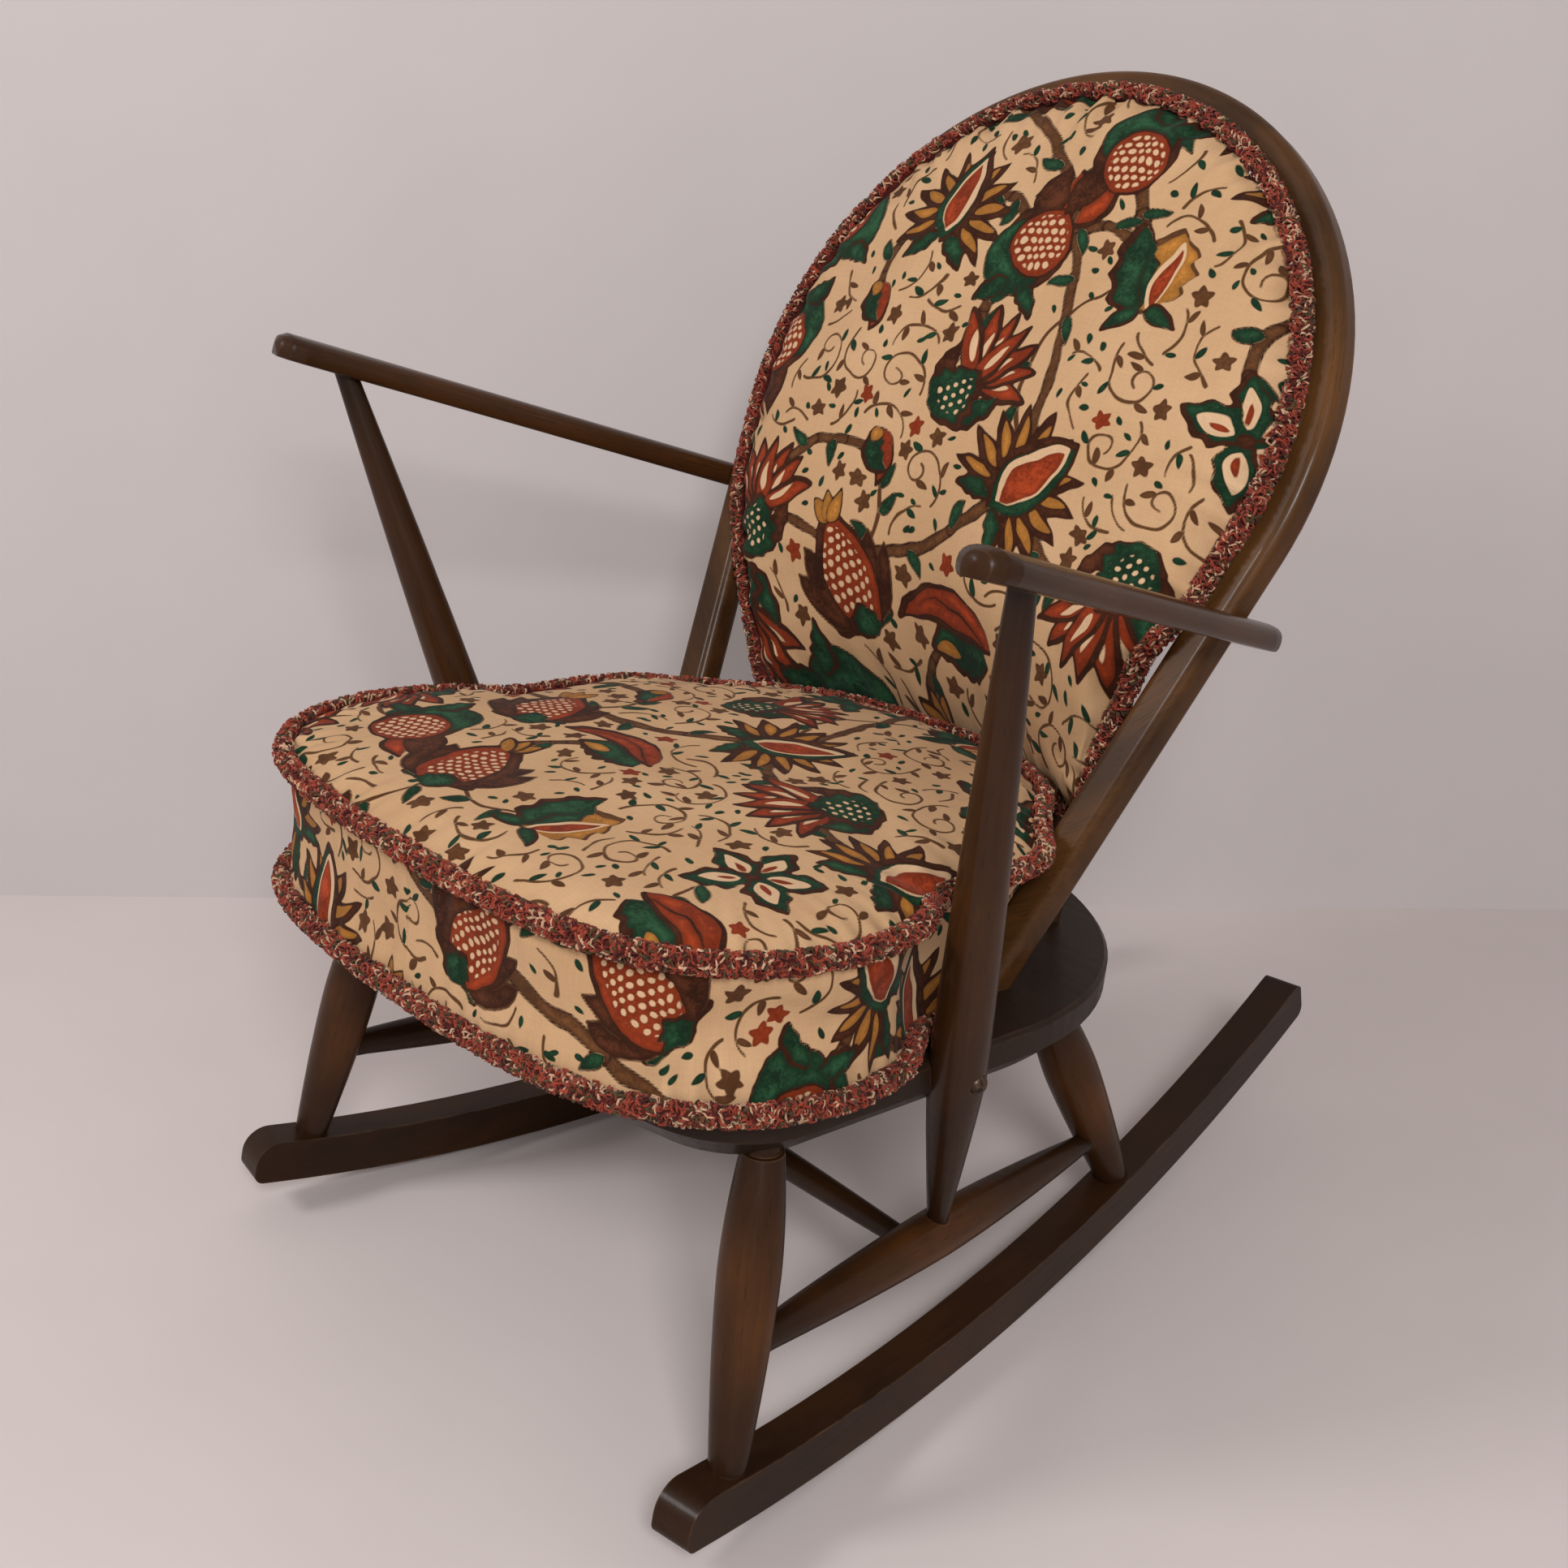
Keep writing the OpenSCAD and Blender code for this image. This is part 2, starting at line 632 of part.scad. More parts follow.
module stick(i) {
    foot = stick_foot(i);
    top = stick_top(i);
    start = mix(foot, top, stick_end_d / norm(top - foot));
    stop = mix(top, foot, (stick_top_depth + stick_end_d) / norm(top - foot));
    color(wood_colour) to_origin() turned(
        start, stop, stick_end_d, stick_belly_d, stick_end_d, stick_belly_share, stretcher_swell,
        stick_end_d + stick_foot_depth, stick_top_depth + stick_end_d
    );
}

// Outline of an arm, as shares of its length and of its half width: the width eases from the
// front width to the rear width, and both ends are round
arm_sides = 20;
arm_stations = 22;
arm_waist_share = 0.42;
function arm_half_w(y) = let (
    full = y < arm_length * arm_waist_share
        ? ease(arm_front_w / 2, arm_rear_w / 2, y / (arm_length * arm_waist_share))
        : arm_rear_w / 2,
    tip = arm_front_w / 2,
    tail = arm_rear_w / 2,
    front = y < tip ? sqrt(max(0, 1 - pow(1 - y / tip, 2))) : 1,
    rear = y > arm_length - tail ? sqrt(max(0, 1 - pow(1 - (arm_length - y) / tail, 2))) : 1
) full * front * rear;
// Places of the arm's sections: close together at the round ends
function arm_place(i) = arm_length * (1 - cos(180 * i / arm_stations)) / 2;
// One section: flat underneath, round on top
arm_flat_share = 0.3;
arm_edge_power = 0.8;
function arm_section(i) = let (
    y = arm_place(i),
    half_w = arm_half_w(y),
    end = min(1, half_w / (arm_rear_w / 2)),
    half_t = arm_thickness / 2 / (1 - arm_flat_share / 2) * sqrt(end)
) [for (k = [0:arm_sides - 1]) let (
    a = 360 * k / arm_sides,
    c = sign(cos(a)) * pow(abs(cos(a)), arm_edge_power),
    s = sign(sin(a)) * pow(abs(sin(a)), arm_edge_power)
) [half_w * c, y, max(0, half_t * (s + 1 - arm_flat_share))]];

// Joins rings of points into a closed skin, with a fan on the first and on the last ring
module skin(rings, first, last) {
    n = len(rings[0]);
    m = len(rings);
    points = concat([for (r = rings) each r], [first, last]);
    walls = [for (k = [0:m - 2], i = [0:n - 1]) let (
        a = k * n + i, b = k * n + (i + 1) % n, c = a + n, d = b + n
    ) each [[a, c, d], [a, d, b]]];
    floor_fan = [for (i = [0:n - 1]) [m * n, i, (i + 1) % n]];
    top_fan = [for (i = [0:n - 1]) [m * n + 1, (m - 1) * n + (i + 1) % n, (m - 1) * n + i]];
    polyhedron(points = points, faces = concat(walls, floor_fan, top_fan), convexity = 8);
}

module arm(side) {
    rings = [for (i = [arm_stations - 1:-1:1]) arm_section(i)];
    mid_z = arm_thickness / 2;
    color(wood_colour) to_origin() on_side(side) difference() {
        on_arm() skin(rings, [0, arm_length, mid_z], [0, 0, mid_z]);
        pin(post_top, post_foot, post_tenon_d + 2 * fit_gap, post_tenon + end_gap, socket_room);
        on_hoop() hoop_leg(0, 0, 0);
        on_hoop() screw_shape(fit_gap);
    }
}

// The full turned shape of a post, grown by grow on its diameter
module post_blank(grow) {
    stretch_r = side_belly_d / 2 * socket_share;
    low = mix(post_foot, post_top, stretch_r / norm(post_top - post_foot));
    t_low = stretch_r / norm(post_top - post_foot);
    turned(
        low, post_top, post_foot_d + grow, post_belly_d + grow, post_top_d + grow,
        (post_seat_t - t_low) / (1 - t_low), post_swell, stretch_r, post_top_d / 2
    );
}

module arm_post(side) {
    color(wood_colour) to_origin() on_side(side) {
        difference() {
            intersection() {
                post_blank(0);
                on_arm() translate([-reach, -reach, -2 * reach]) cube([2 * reach, 2 * reach, 2 * reach]);
            }
            bolt_hole();
        }
        pin(post_top, post_foot, post_tenon_d, post_tenon, post_top_d * lap_share);
    }
}

// The bolt crosses the post and goes into the seat's edge; its round head sits in a counterbore
bolt_head_base = post_belly_d / 2 - bolt_head_rise;
module bolt_shape(gap) {
    translate(post_side) rotate([0, 90, 0]) {
        translate([0, 0, -post_belly_d / 2 - bolt_grip - (gap > 0 ? end_gap : 0)])
            cylinder(
                h = post_belly_d / 2 + bolt_grip + bolt_head_base + (gap > 0 ? end_gap : 0),
                d = bolt_d + 2 * gap, $fn = round_fn
            );
        translate([0, 0, bolt_head_base]) cylinder(
            h = gap > 0 ? post_belly_d : bolt_head_rise, d = bolt_head_d + 2 * gap, $fn = round_fn
        );
    }
}

module bolt_hole() {
    bolt_shape(fit_gap);
}

// A bolt with its domed head
module post_bolt() {
    dome_r = (pow(bolt_head_d / 2, 2) + pow(bolt_head_rise, 2)) / (2 * bolt_head_rise);
    bolt_shape(0);
    translate([post_side[0] + post_belly_d / 2, post_side[1], post_side[2]]) rotate([0, 90, 0])
        intersection() {
            translate([0, 0, bolt_head_rise - dome_r]) sphere(r = dome_r, $fn = round_fn);
            cylinder(h = bolt_head_rise, d = bolt_head_d, $fn = round_fn);
        }
}

module post_bolts() {
    color(metal_colour) to_origin() for (side = [-1, 1]) on_side(side) post_bolt();
}

// An arm screw, in the hoop's frame: its head is sunk into the hoop's inner face
screw_head_depth = screw_head_d / 3;
module screw_shape(gap) {
    x0 = hoop_x(arm_cross_s) - hoop_width / 2 / cos(hoop_wrap);
    translate([x0, arm_cross_s, 0]) rotate([0, 90, 0]) {
        cylinder(
            h = hoop_width + screw_grip + (gap > 0 ? end_gap : 0), d = screw_d + 2 * gap, $fn = round_fn
        );
        translate([0, 0, gap > 0 ? -screw_head_depth : screw_head_depth / 3]) cylinder(
            h = gap > 0 ? 2 * screw_head_depth : screw_head_depth * 2 / 3,
            d = screw_head_d + 2 * gap, $fn = round_fn
        );
    }
}

module arm_screws() {
    color(metal_colour) to_origin() for (side = [-1, 1]) on_side(side) on_hoop()
        intersection() {
            screw_shape(0);
            translate([hoop_x(arm_cross_s) - hoop_width / 2, -reach, -reach]) cube(2 * reach);
        }
}

// Half outline of the seat cushion at its top seam and at its bottom seam, from the middle of
// its front to the middle of its rear: shares of its half width and of its length
pad_top_shares = [
    [0, 0], [0.222, 0.001], [0.467, 0.014], [0.642, 0.035], [0.763, 0.064], [0.879, 0.117],
    [0.961, 0.188], [1, 0.282], [0.988, 0.357], [0.953, 0.419], [0.895, 0.464], [0.86, 0.513],
    [0.855, 0.579], [0.848, 0.654], [0.812, 0.724], [0.714, 0.782], [0.588, 0.858],
    [0.486, 0.924], [0.272, 0.984], [0, 1]
];
pad_bottom_shares = [
    [0, 0], [0.222, 0.001], [0.467, 0.014], [0.642, 0.035], [0.763, 0.064], [0.879, 0.117],
    [0.961, 0.188], [1, 0.282], [0.988, 0.357], [0.953, 0.419], [0.89, 0.464], [0.84, 0.513],
    [0.835, 0.575], [0.82, 0.63], [0.75, 0.668], [0.636, 0.692], [0.553, 0.752],
    [0.535, 0.87], [0.311, 0.97], [0, 1]
];
// Half outline of the back cushion's lower seam: shares of its radius, and of the height from
// the lowest seam to the arch's centre
back_shares = [
    [0, 0], [0.28, -0.01], [0.5, -0.05], [0.62, -0.085], [0.68, -0.07], [0.715, -0.01],
    [0.74, 0.08], [0.775, 0.18], [0.815, 0.3], [0.85, 0.41], [0.893, 0.5], [0.935, 0.6]
];

// Point of a smooth closed curve through the points p, at place t
function curve(p, t) = let (
    n = len(p), i = floor(t), f = t - i,
    a = p[(i + n - 1) % n], b = p[i % n], c = p[(i + 1) % n], d = p[(i + 2) % n]
) (2 * b + (c - a) * f + (2 * a - 5 * b + 4 * c - d) * f * f + (3 * b - a - 3 * c + d) * f * f * f) / 2;

// Closes a half outline: its points, then those of the other side
function close_outline(half) = concat(half, [for (i = [len(half) - 2:-1:1]) [-half[i][0], half[i][1]]]);
// Part of a step over which an outline's direction is taken
probe = 0.3;
// Points of a closed outline in even steps, moved out by out
function outline(loop, out) = [for (i = [0:pad_steps - 1]) let (
    n = len(loop), t = i * n / pad_steps,
    d = unit(curve(loop, t + n + probe) - curve(loop, t + n - probe))
) curve(loop, t) + out * [d[1], -d[0]]];

// Joins rings of points into a tube that closes on itself
module closed_skin(rings) {
    n = len(rings[0]);
    m = len(rings);
    faces = [for (k = [0:m - 1], i = [0:n - 1]) let (
        a = k * n + i, b = k * n + (i + 1) % n,
        c = ((k + 1) % m) * n + i, d = ((k + 1) % m) * n + (i + 1) % n
    ) each [[a, d, c], [a, b, d]]];
    polyhedron(points = [for (r = rings) each r], faces = faces, convexity = 8);
}

// How a seam sits in the fringe: shares of the fringe's radius
seam_wall_share = 0.8;
seam_top_share = 0.4;
seam_in_share = 0.9;
// Places of the fringe's outer points, as angles round its middle
fringe_angles = [90, 45, 0, -45, -90];

pad_length = pad_front_reach + pad_rear_reach;
pad_top = pad_seam_h + pad_wall;
// Shares of the outline's half width at which it passes a post, and at which the hoop stands
pad_post_share = 0.855;
pad_hoop_share = 0.683;
// Half the width that the outline follows in front, and behind the posts
pad_half_w = (seat_radius + post_stand_off - post_belly_d / 2 - pad_post_gap) / pad_post_share;
pad_rear_half_w = hoop_foot_x / pad_hoop_share;
// First point of the outline behind the posts
pad_rear_point = 14;
// Outline of the seat cushion at height h above the seat
function pad_loop(h) = let (t = (h - pad_seam_h) / pad_wall) close_outline(
    [for (i = [0:len(pad_top_shares) - 1]) let (p = mix(pad_bottom_shares[i], pad_top_shares[i], t))
        [p[0] * (i < pad_rear_point ? pad_half_w : pad_rear_half_w),
            p[1] * pad_length - pad_front_reach]]
);
// Ring of the seat cushion at height h, moved out by out
function pad_ring(h, out) = [for (p = outline(pad_loop(h), out)) [p[0], p[1], seat_thickness + h]];
// Ring of the crown: its share of the cushion's size, and of the crown's rise
pad_centre = [0, (pad_rear_reach - pad_front_reach) / 2];
crown_shares = [[0.94, 0.34], [0.82, 0.64], [0.62, 0.87], [0.33, 0.98]];
function crown_ring(c) = [for (p = outline(pad_loop(pad_top), 0)) let (q = mix(pad_centre, p, c[0]))
    [q[0], q[1], seat_thickness + pad_top + pad_crown * c[1]]];
// Three rings that the cushion and its fringe share at a seam; up is 1 at the top, -1 below
function pad_low(h, up) = up > 0
    ? pad_ring(h - seam_wall_share * fringe_r, -over)
    : pad_ring(h - seam_top_share * fringe_r, -seam_in_share * fringe_r);
function pad_high(h, up) = up > 0
    ? pad_ring(h + seam_top_share * fringe_r, -seam_in_share * fringe_r)
    : pad_ring(h + seam_wall_share * fringe_r, -over);
function pad_seam(h, up) = [pad_low(h, up), pad_ring(h, 0), pad_high(h, up)];

// Places of the rings in the boxed side, as shares of its height
wall_shares = [0.25, 0.5, 0.75];

module seat_cushion() {
    wall_low = pad_seam_h + seam_wall_share * fringe_r;
    wall_high = pad_top - seam_wall_share * fringe_r;
    rings = concat(
        [pad_ring(rest_gap, -pad_seam_h - fringe_r / 2)],
        pad_seam(pad_seam_h, -1),
        [for (t = wall_shares) pad_ring(mix(wall_low, wall_high, t), -over - pad_draw_in * sin(180 * t))],
        pad_seam(pad_top, 1),
        [for (c = crown_shares) crown_ring(c)]
    );
    color(cloth_colour) to_origin() on_seat() skin(
        rings, [pad_centre[0], pad_centre[1], seat_thickness + rest_gap],
        [pad_centre[0], pad_centre[1], seat_thickness + pad_top + pad_crown]
    );
}

module seat_fringe(h, up) {
    outer = [for (a = fringe_angles) pad_ring(h + fringe_r * sin(a), fringe_out + fringe_r * cos(a))];
    color(fringe_colour) to_origin() on_seat() closed_skin(concat(pad_seam(h, up), outer));
}

// Seam of the back cushion in the hoop's frame: a round top over the drawn-in lower part
back_arc_steps = 12;
back_arc_start = -15;
back_height = hoop_rise - back_bottom;
back_loop = close_outline(concat(
    [for (p = back_shares) [p[0] * back_radius, back_bottom + p[1] * back_height]],
    [for (i = [0:back_arc_steps]) let (a = mix(back_arc_start, 90, i / back_arc_steps))
        [back_radius * cos(a), hoop_rise + back_radius * sin(a)]]
));

// Distance of the back cushion's middle from the hoop's plane: it rests in front of the hoop,
// goes back between the legs below, and sinks towards the sticks in its lower middle
back_tuck_share = 0.45;
back_sag_share = 0.72;
back_tuck_power = 1.3;
back_sag_power = 1.5;
function back_off(x, s) = let (
    tuck_top = back_bottom + back_height * back_tuck_share,
    u = max(0, (tuck_top - s) / (tuck_top - back_bottom)),
    v = max(0, (hoop_rise - s) / back_height),
    w = x / (back_radius * back_sag_share)
) back_rest - back_tuck * pow(u, back_tuck_power) - back_sag * pow(v, back_sag_power) * max(0, 1 - w * w);

// Ring of the back cushion: moved out by out and then scaled by share, raised by lift
function back_ring(out, share, lift) = [for (q = outline(back_loop, out)) let (
    p = mix([0, hoop_rise], q, share)
) [p[0], p[1], back_off(p[0], p[1]) + lift]];
back_seam = [
    back_ring(-seam_in_share * fringe_r, 1, -seam_top_share * fringe_r), back_ring(0, 1, 0),
    back_ring(-seam_in_share * fringe_r, 1, seam_top_share * fringe_r)
];
// Rings of its rear and of its front: shares of its size, and of its swell
back_rear_shares = [[0.35, 0.97], [0.7, 0.8], [0.9, 0.42]];
back_front_shares = [[0.93, 0.36], [0.84, 0.62], [0.7, 0.83], [0.48, 0.94], [0.24, 0.99]];

module back_cushion() {
    rings = concat(
        [for (r = back_rear_shares) back_ring(0, r[0], -back_rear_crown * r[1])],
        back_seam,
        [for (r = back_front_shares) back_ring(0, r[0], back_crown * r[1])]
    );
    mid_off = back_off(0, hoop_rise);
    color(cloth_colour) to_origin() on_hoop() skin(
        rings, [0, hoop_rise, mid_off - back_rear_crown], [0, hoop_rise, mid_off + back_crown]
    );
}

module back_fringe() {
    outer = [for (a = fringe_angles) back_ring(fringe_out + fringe_r * cos(a), 1, fringe_r * sin(a))];
    color(fringe_colour) to_origin() on_hoop() closed_skin(concat(back_seam, outer));
}

rocker(1);  // rocker_left
rocker(-1);  // rocker_right
front_leg(1);  // front_leg_left
front_leg(-1);  // front_leg_right
rear_leg(1);  // rear_leg_left
rear_leg(-1);  // rear_leg_right
side_stretcher(1);  // side_stretcher_left
side_stretcher(-1);  // side_stretcher_right
cross_stretcher();
seat();
hoop();
stick(0);  // stick_1
stick(1);  // stick_2
stick(2);  // stick_3
stick(3);  // stick_4
stick(4);  // stick_5
stick(5);  // stick_6
stick(6);  // stick_7
arm(1);  // arm_left
arm(-1);  // arm_right
arm_post(1);  // arm_post_left
arm_post(-1);  // arm_post_right
post_bolts();
arm_screws();
seat_cushion();
seat_fringe(pad_top, 1);  // seat_fringe_top
seat_fringe(pad_seam_h, -1);  // seat_fringe_bottom
back_cushion();
back_fringe();
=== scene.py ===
"""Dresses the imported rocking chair: stained wood, printed cushions with bushy fringe, studio."""

import json
import math

import bpy
import numpy as np
from mathutils import Matrix, Vector


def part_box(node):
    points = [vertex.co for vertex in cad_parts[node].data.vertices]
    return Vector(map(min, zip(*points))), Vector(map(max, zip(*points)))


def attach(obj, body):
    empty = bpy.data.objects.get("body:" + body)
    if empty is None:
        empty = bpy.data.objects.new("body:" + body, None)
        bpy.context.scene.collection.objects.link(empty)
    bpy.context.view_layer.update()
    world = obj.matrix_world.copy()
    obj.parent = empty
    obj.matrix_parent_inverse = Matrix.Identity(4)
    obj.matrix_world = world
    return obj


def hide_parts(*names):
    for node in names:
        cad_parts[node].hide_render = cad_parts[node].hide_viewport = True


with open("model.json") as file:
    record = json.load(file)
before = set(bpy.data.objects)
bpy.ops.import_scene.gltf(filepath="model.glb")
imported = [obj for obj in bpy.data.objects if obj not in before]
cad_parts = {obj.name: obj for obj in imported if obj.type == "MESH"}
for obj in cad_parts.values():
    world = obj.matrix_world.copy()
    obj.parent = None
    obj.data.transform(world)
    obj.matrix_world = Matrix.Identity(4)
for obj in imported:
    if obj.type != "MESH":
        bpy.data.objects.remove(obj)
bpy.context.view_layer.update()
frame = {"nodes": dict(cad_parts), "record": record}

bl_info = {
    "name": "Hoop-back rocking chair",
    "version": (1, 0, 0),
    "blender": (4, 5, 0),
    "location": "View3D > Sidebar > Rocking chair",
    "description": "Gives a hoop-back rocking chair its wood finish, printed cushions and fringe",
    "category": "Object",
}

MM = 0.001

# Sizes of the soft forms in millimetres, as the chair's solids have them.
CHAIR_MID = 70.781
SEAT_HEIGHT, SEAT_TILT, SEAT_THICKNESS = 233.5, math.radians(5.1), 36.0
HOOP_LEAN, HOOP_FOOT_Y = math.radians(28.9), 36.0
HOOP_FOOT_Z = SEAT_HEIGHT + SEAT_THICKNESS / math.cos(SEAT_TILT) - math.tan(SEAT_TILT) * HOOP_FOOT_Y
HOOP_RISE, HOOP_RADIUS = 380.0, 246.0
PAD_HALF_W, PAD_FRONT, PAD_REAR = 257.0, 325.0, 160.0
PAD_LENGTH = PAD_FRONT + PAD_REAR
PAD_SEAM_H, PAD_WALL, PAD_CROWN, PAD_DRAW_IN = 11.0, 96.0, 24.0, 4.0
PAD_TOP = PAD_SEAM_H + PAD_WALL
PAD_CENTRE = np.array([0.0, (PAD_REAR - PAD_FRONT) / 2])
BACK_RADIUS, BACK_REST, BACK_BOTTOM = 234.0, 21.0, 148.0
BACK_HEIGHT = HOOP_RISE - BACK_BOTTOM
BACK_CENTRE = np.array([0.0, HOOP_RISE])
BACK_CROWN, BACK_REAR_CROWN, BACK_TUCK, BACK_SAG = 36.0, 26.0, 50.0, 76.0
FRINGE_R, FRINGE_OUT = 8.0, 3.0

# Half outlines from the middle of the front to the middle of the rear, as shares of the size.
PAD_TOP_SHARES = [
    (0, 0), (0.222, 0.001), (0.467, 0.014), (0.642, 0.035), (0.763, 0.064), (0.879, 0.117),
    (0.961, 0.188), (1, 0.282), (0.988, 0.357), (0.953, 0.419), (0.895, 0.464), (0.86, 0.513),
    (0.855, 0.579), (0.848, 0.654), (0.812, 0.724), (0.714, 0.782), (0.588, 0.858),
    (0.486, 0.924), (0.272, 0.984), (0, 1),
]
PAD_BOTTOM_SHARES = PAD_TOP_SHARES[:10] + [
    (0.89, 0.464), (0.84, 0.513), (0.835, 0.575), (0.82, 0.63), (0.75, 0.668), (0.636, 0.692),
    (0.553, 0.752), (0.535, 0.87), (0.311, 0.97), (0, 1),
]
BACK_SHARES = [
    (0, 0), (0.28, -0.01), (0.5, -0.05), (0.62, -0.085), (0.68, -0.07), (0.715, -0.01),
    (0.74, 0.08), (0.775, 0.18), (0.815, 0.3), (0.85, 0.41), (0.893, 0.5), (0.935, 0.6),
]

# How far the panels stay inside the seams, how much lower the crowns start than the solids'
# because they are still to be filled, and how far the underside is above the board.
TOP_INSET, BACK_INSET, CROWN_CUT, PAD_LIFT = 4.5, 5.0, 4.0, 0.8
# The depth of the soft lumps in metres, and the length round the seat cushion.
PAD_LUMP, BACK_LUMP, PAD_GIRTH = 0.0012, 0.0016, 1650
# Where the arm posts pass the cushion, and the room round them in which no gather stands out.
POST_X, POST_Y, POST_ROOM = 236, -88, 46

# The cloth: quads round a cushion before it is subdivided, and along one side of its grid.
# Its seam starts half a side away from the middle of the front.
ROUND = 160
GRID = ROUND // 4
SEAM_START = -GRID / 2
WALL_ROWS, RIM_STEPS, SMOOTH_ROUNDS, SUBDIVIDE = 8, 2048, 500, 3
FILLING_FRAMES = 20
FILLING = {
    "quality": 4, "mass": 0.3, "tension_stiffness": 12.0, "compression_stiffness": 12.0,
    "bending_stiffness": 0.4, "shrink_min": -0.03, "use_pressure": True,
    "uniform_pressure_force": 4.0, "vertex_group_mass": "held", "pin_stiffness": 1.0,
}

# The fringe: its core, how far round it the loops sit, how far they lean (both in radians), and
# the core's place among the yarn's colours.
CORE_R, CORE_SIDES, CORE_TINT, FRINGE_STEPS = FRINGE_R * 0.6 * MM, 8, 0.55, 600
LOOPS_ROUND, LOOP_LEAN = 2.35, 0.6
# A distance beyond all others.
FAR = 1e9


# Settings

def colour_prop(name, text, value):
    return bpy.props.FloatVectorProperty(
        name=name, description=text, subtype="COLOR", size=3, min=0.0, max=1.0, default=value)


def length_prop(name, text, low, high, value):
    return bpy.props.FloatProperty(name=name, description=text, subtype="DISTANCE",
                                   unit="LENGTH", min=low, max=high, default=value)


def share_prop(name, text, value):
    return bpy.props.FloatProperty(name=name, description=text, subtype="FACTOR",
                                   min=0.0, max=1.0, default=value)


def power_prop(name, text, value):
    return bpy.props.FloatProperty(name=name, description=text, unit="POWER", default=value)


class WoodSettings(bpy.types.PropertyGroup):
    stain: colour_prop("Stain", "Darkest colour of the stained wood", (0.013, 0.006, 0.0032))
    glow: colour_prop("Glow", "Warm colour where the stain is thin", (0.088, 0.030, 0.007))
    hoop: colour_prop("Hoop", "Warm colour of the paler hoop", (0.130, 0.052, 0.014))
    board: colour_prop("Board", "Warm colour of the seat board", (0.036, 0.021, 0.014))
    bare: colour_prop("Bare wood", "Colour of worn edges", (0.20, 0.10, 0.045))
    roughness: share_prop("Roughness", "Roughness of the satin finish on the legs", 0.34)
    wear: share_prop("Wear", "How much the edges are worn through", 0.45)


class ClothSettings(bpy.types.PropertyGroup):
    ground: colour_prop("Ground", "Cream ground of the cotton", (0.52, 0.325, 0.18))
    stem: colour_prop("Stems", "Brown of the thick stems", (0.068, 0.026, 0.009))
    line: colour_prop("Lines", "Brown of the thin scrolls", (0.082, 0.034, 0.011))
    maroon: colour_prop("Maroon", "Darkest ink", (0.027, 0.0075, 0.0028))
    rust: colour_prop("Rust", "Rust red ink", (0.150, 0.020, 0.005))
    green: colour_prop("Green", "Dark bottle green ink", (0.0055, 0.020, 0.0085))
    ochre: colour_prop("Ochre", "Ochre ink", (0.25, 0.10, 0.018))
    cream: colour_prop("Cream", "Cream left inside the flowers", (0.56, 0.365, 0.215))
    pucker: length_prop("Pucker", "Depth of the gathers along a seam", 0.0, 0.004, 0.0017)
    swell: length_prop("Swell", "How far the filling may push the cloth out", 0.0, 0.02, 0.003)


class FringeSettings(bpy.types.PropertyGroup):
    red: colour_prop("Red", "Rust red yarn", (0.27, 0.045, 0.024))
    wine: colour_prop("Wine", "Dark red yarn", (0.085, 0.014, 0.010))
    cream: colour_prop("Cream", "Cream yarn", (0.50, 0.30, 0.185))
    olive: colour_prop("Olive", "Dark olive yarn", (0.075, 0.05, 0.02))
    loops_per_m: bpy.props.IntProperty(
        name="Loops per metre", description="Yarn loops along a metre of fringe",
        min=500, max=9000, default=6000)
    yarn: length_prop("Yarn", "Thickness of the yarn", 0.0005, 0.004, 0.0017)
    bush: length_prop("Bush", "How far the loops stand out of the braid", 0.001, 0.012, 0.0044)


class StudioSettings(bpy.types.PropertyGroup):
    floor: colour_prop("Floor", "Pale floor", (0.60, 0.53, 0.515))
    wall: colour_prop("Wall", "Pale backdrop", (0.535, 0.485, 0.475))
    key: power_prop("Key", "Power of the large soft light", 62.0)
    fill: power_prop("Fill", "Power of the second soft light", 36.0)
    air: bpy.props.FloatProperty(
        name="Air", description="Strength of the light from all round", min=0.0, default=0.52)


# Shader helpers

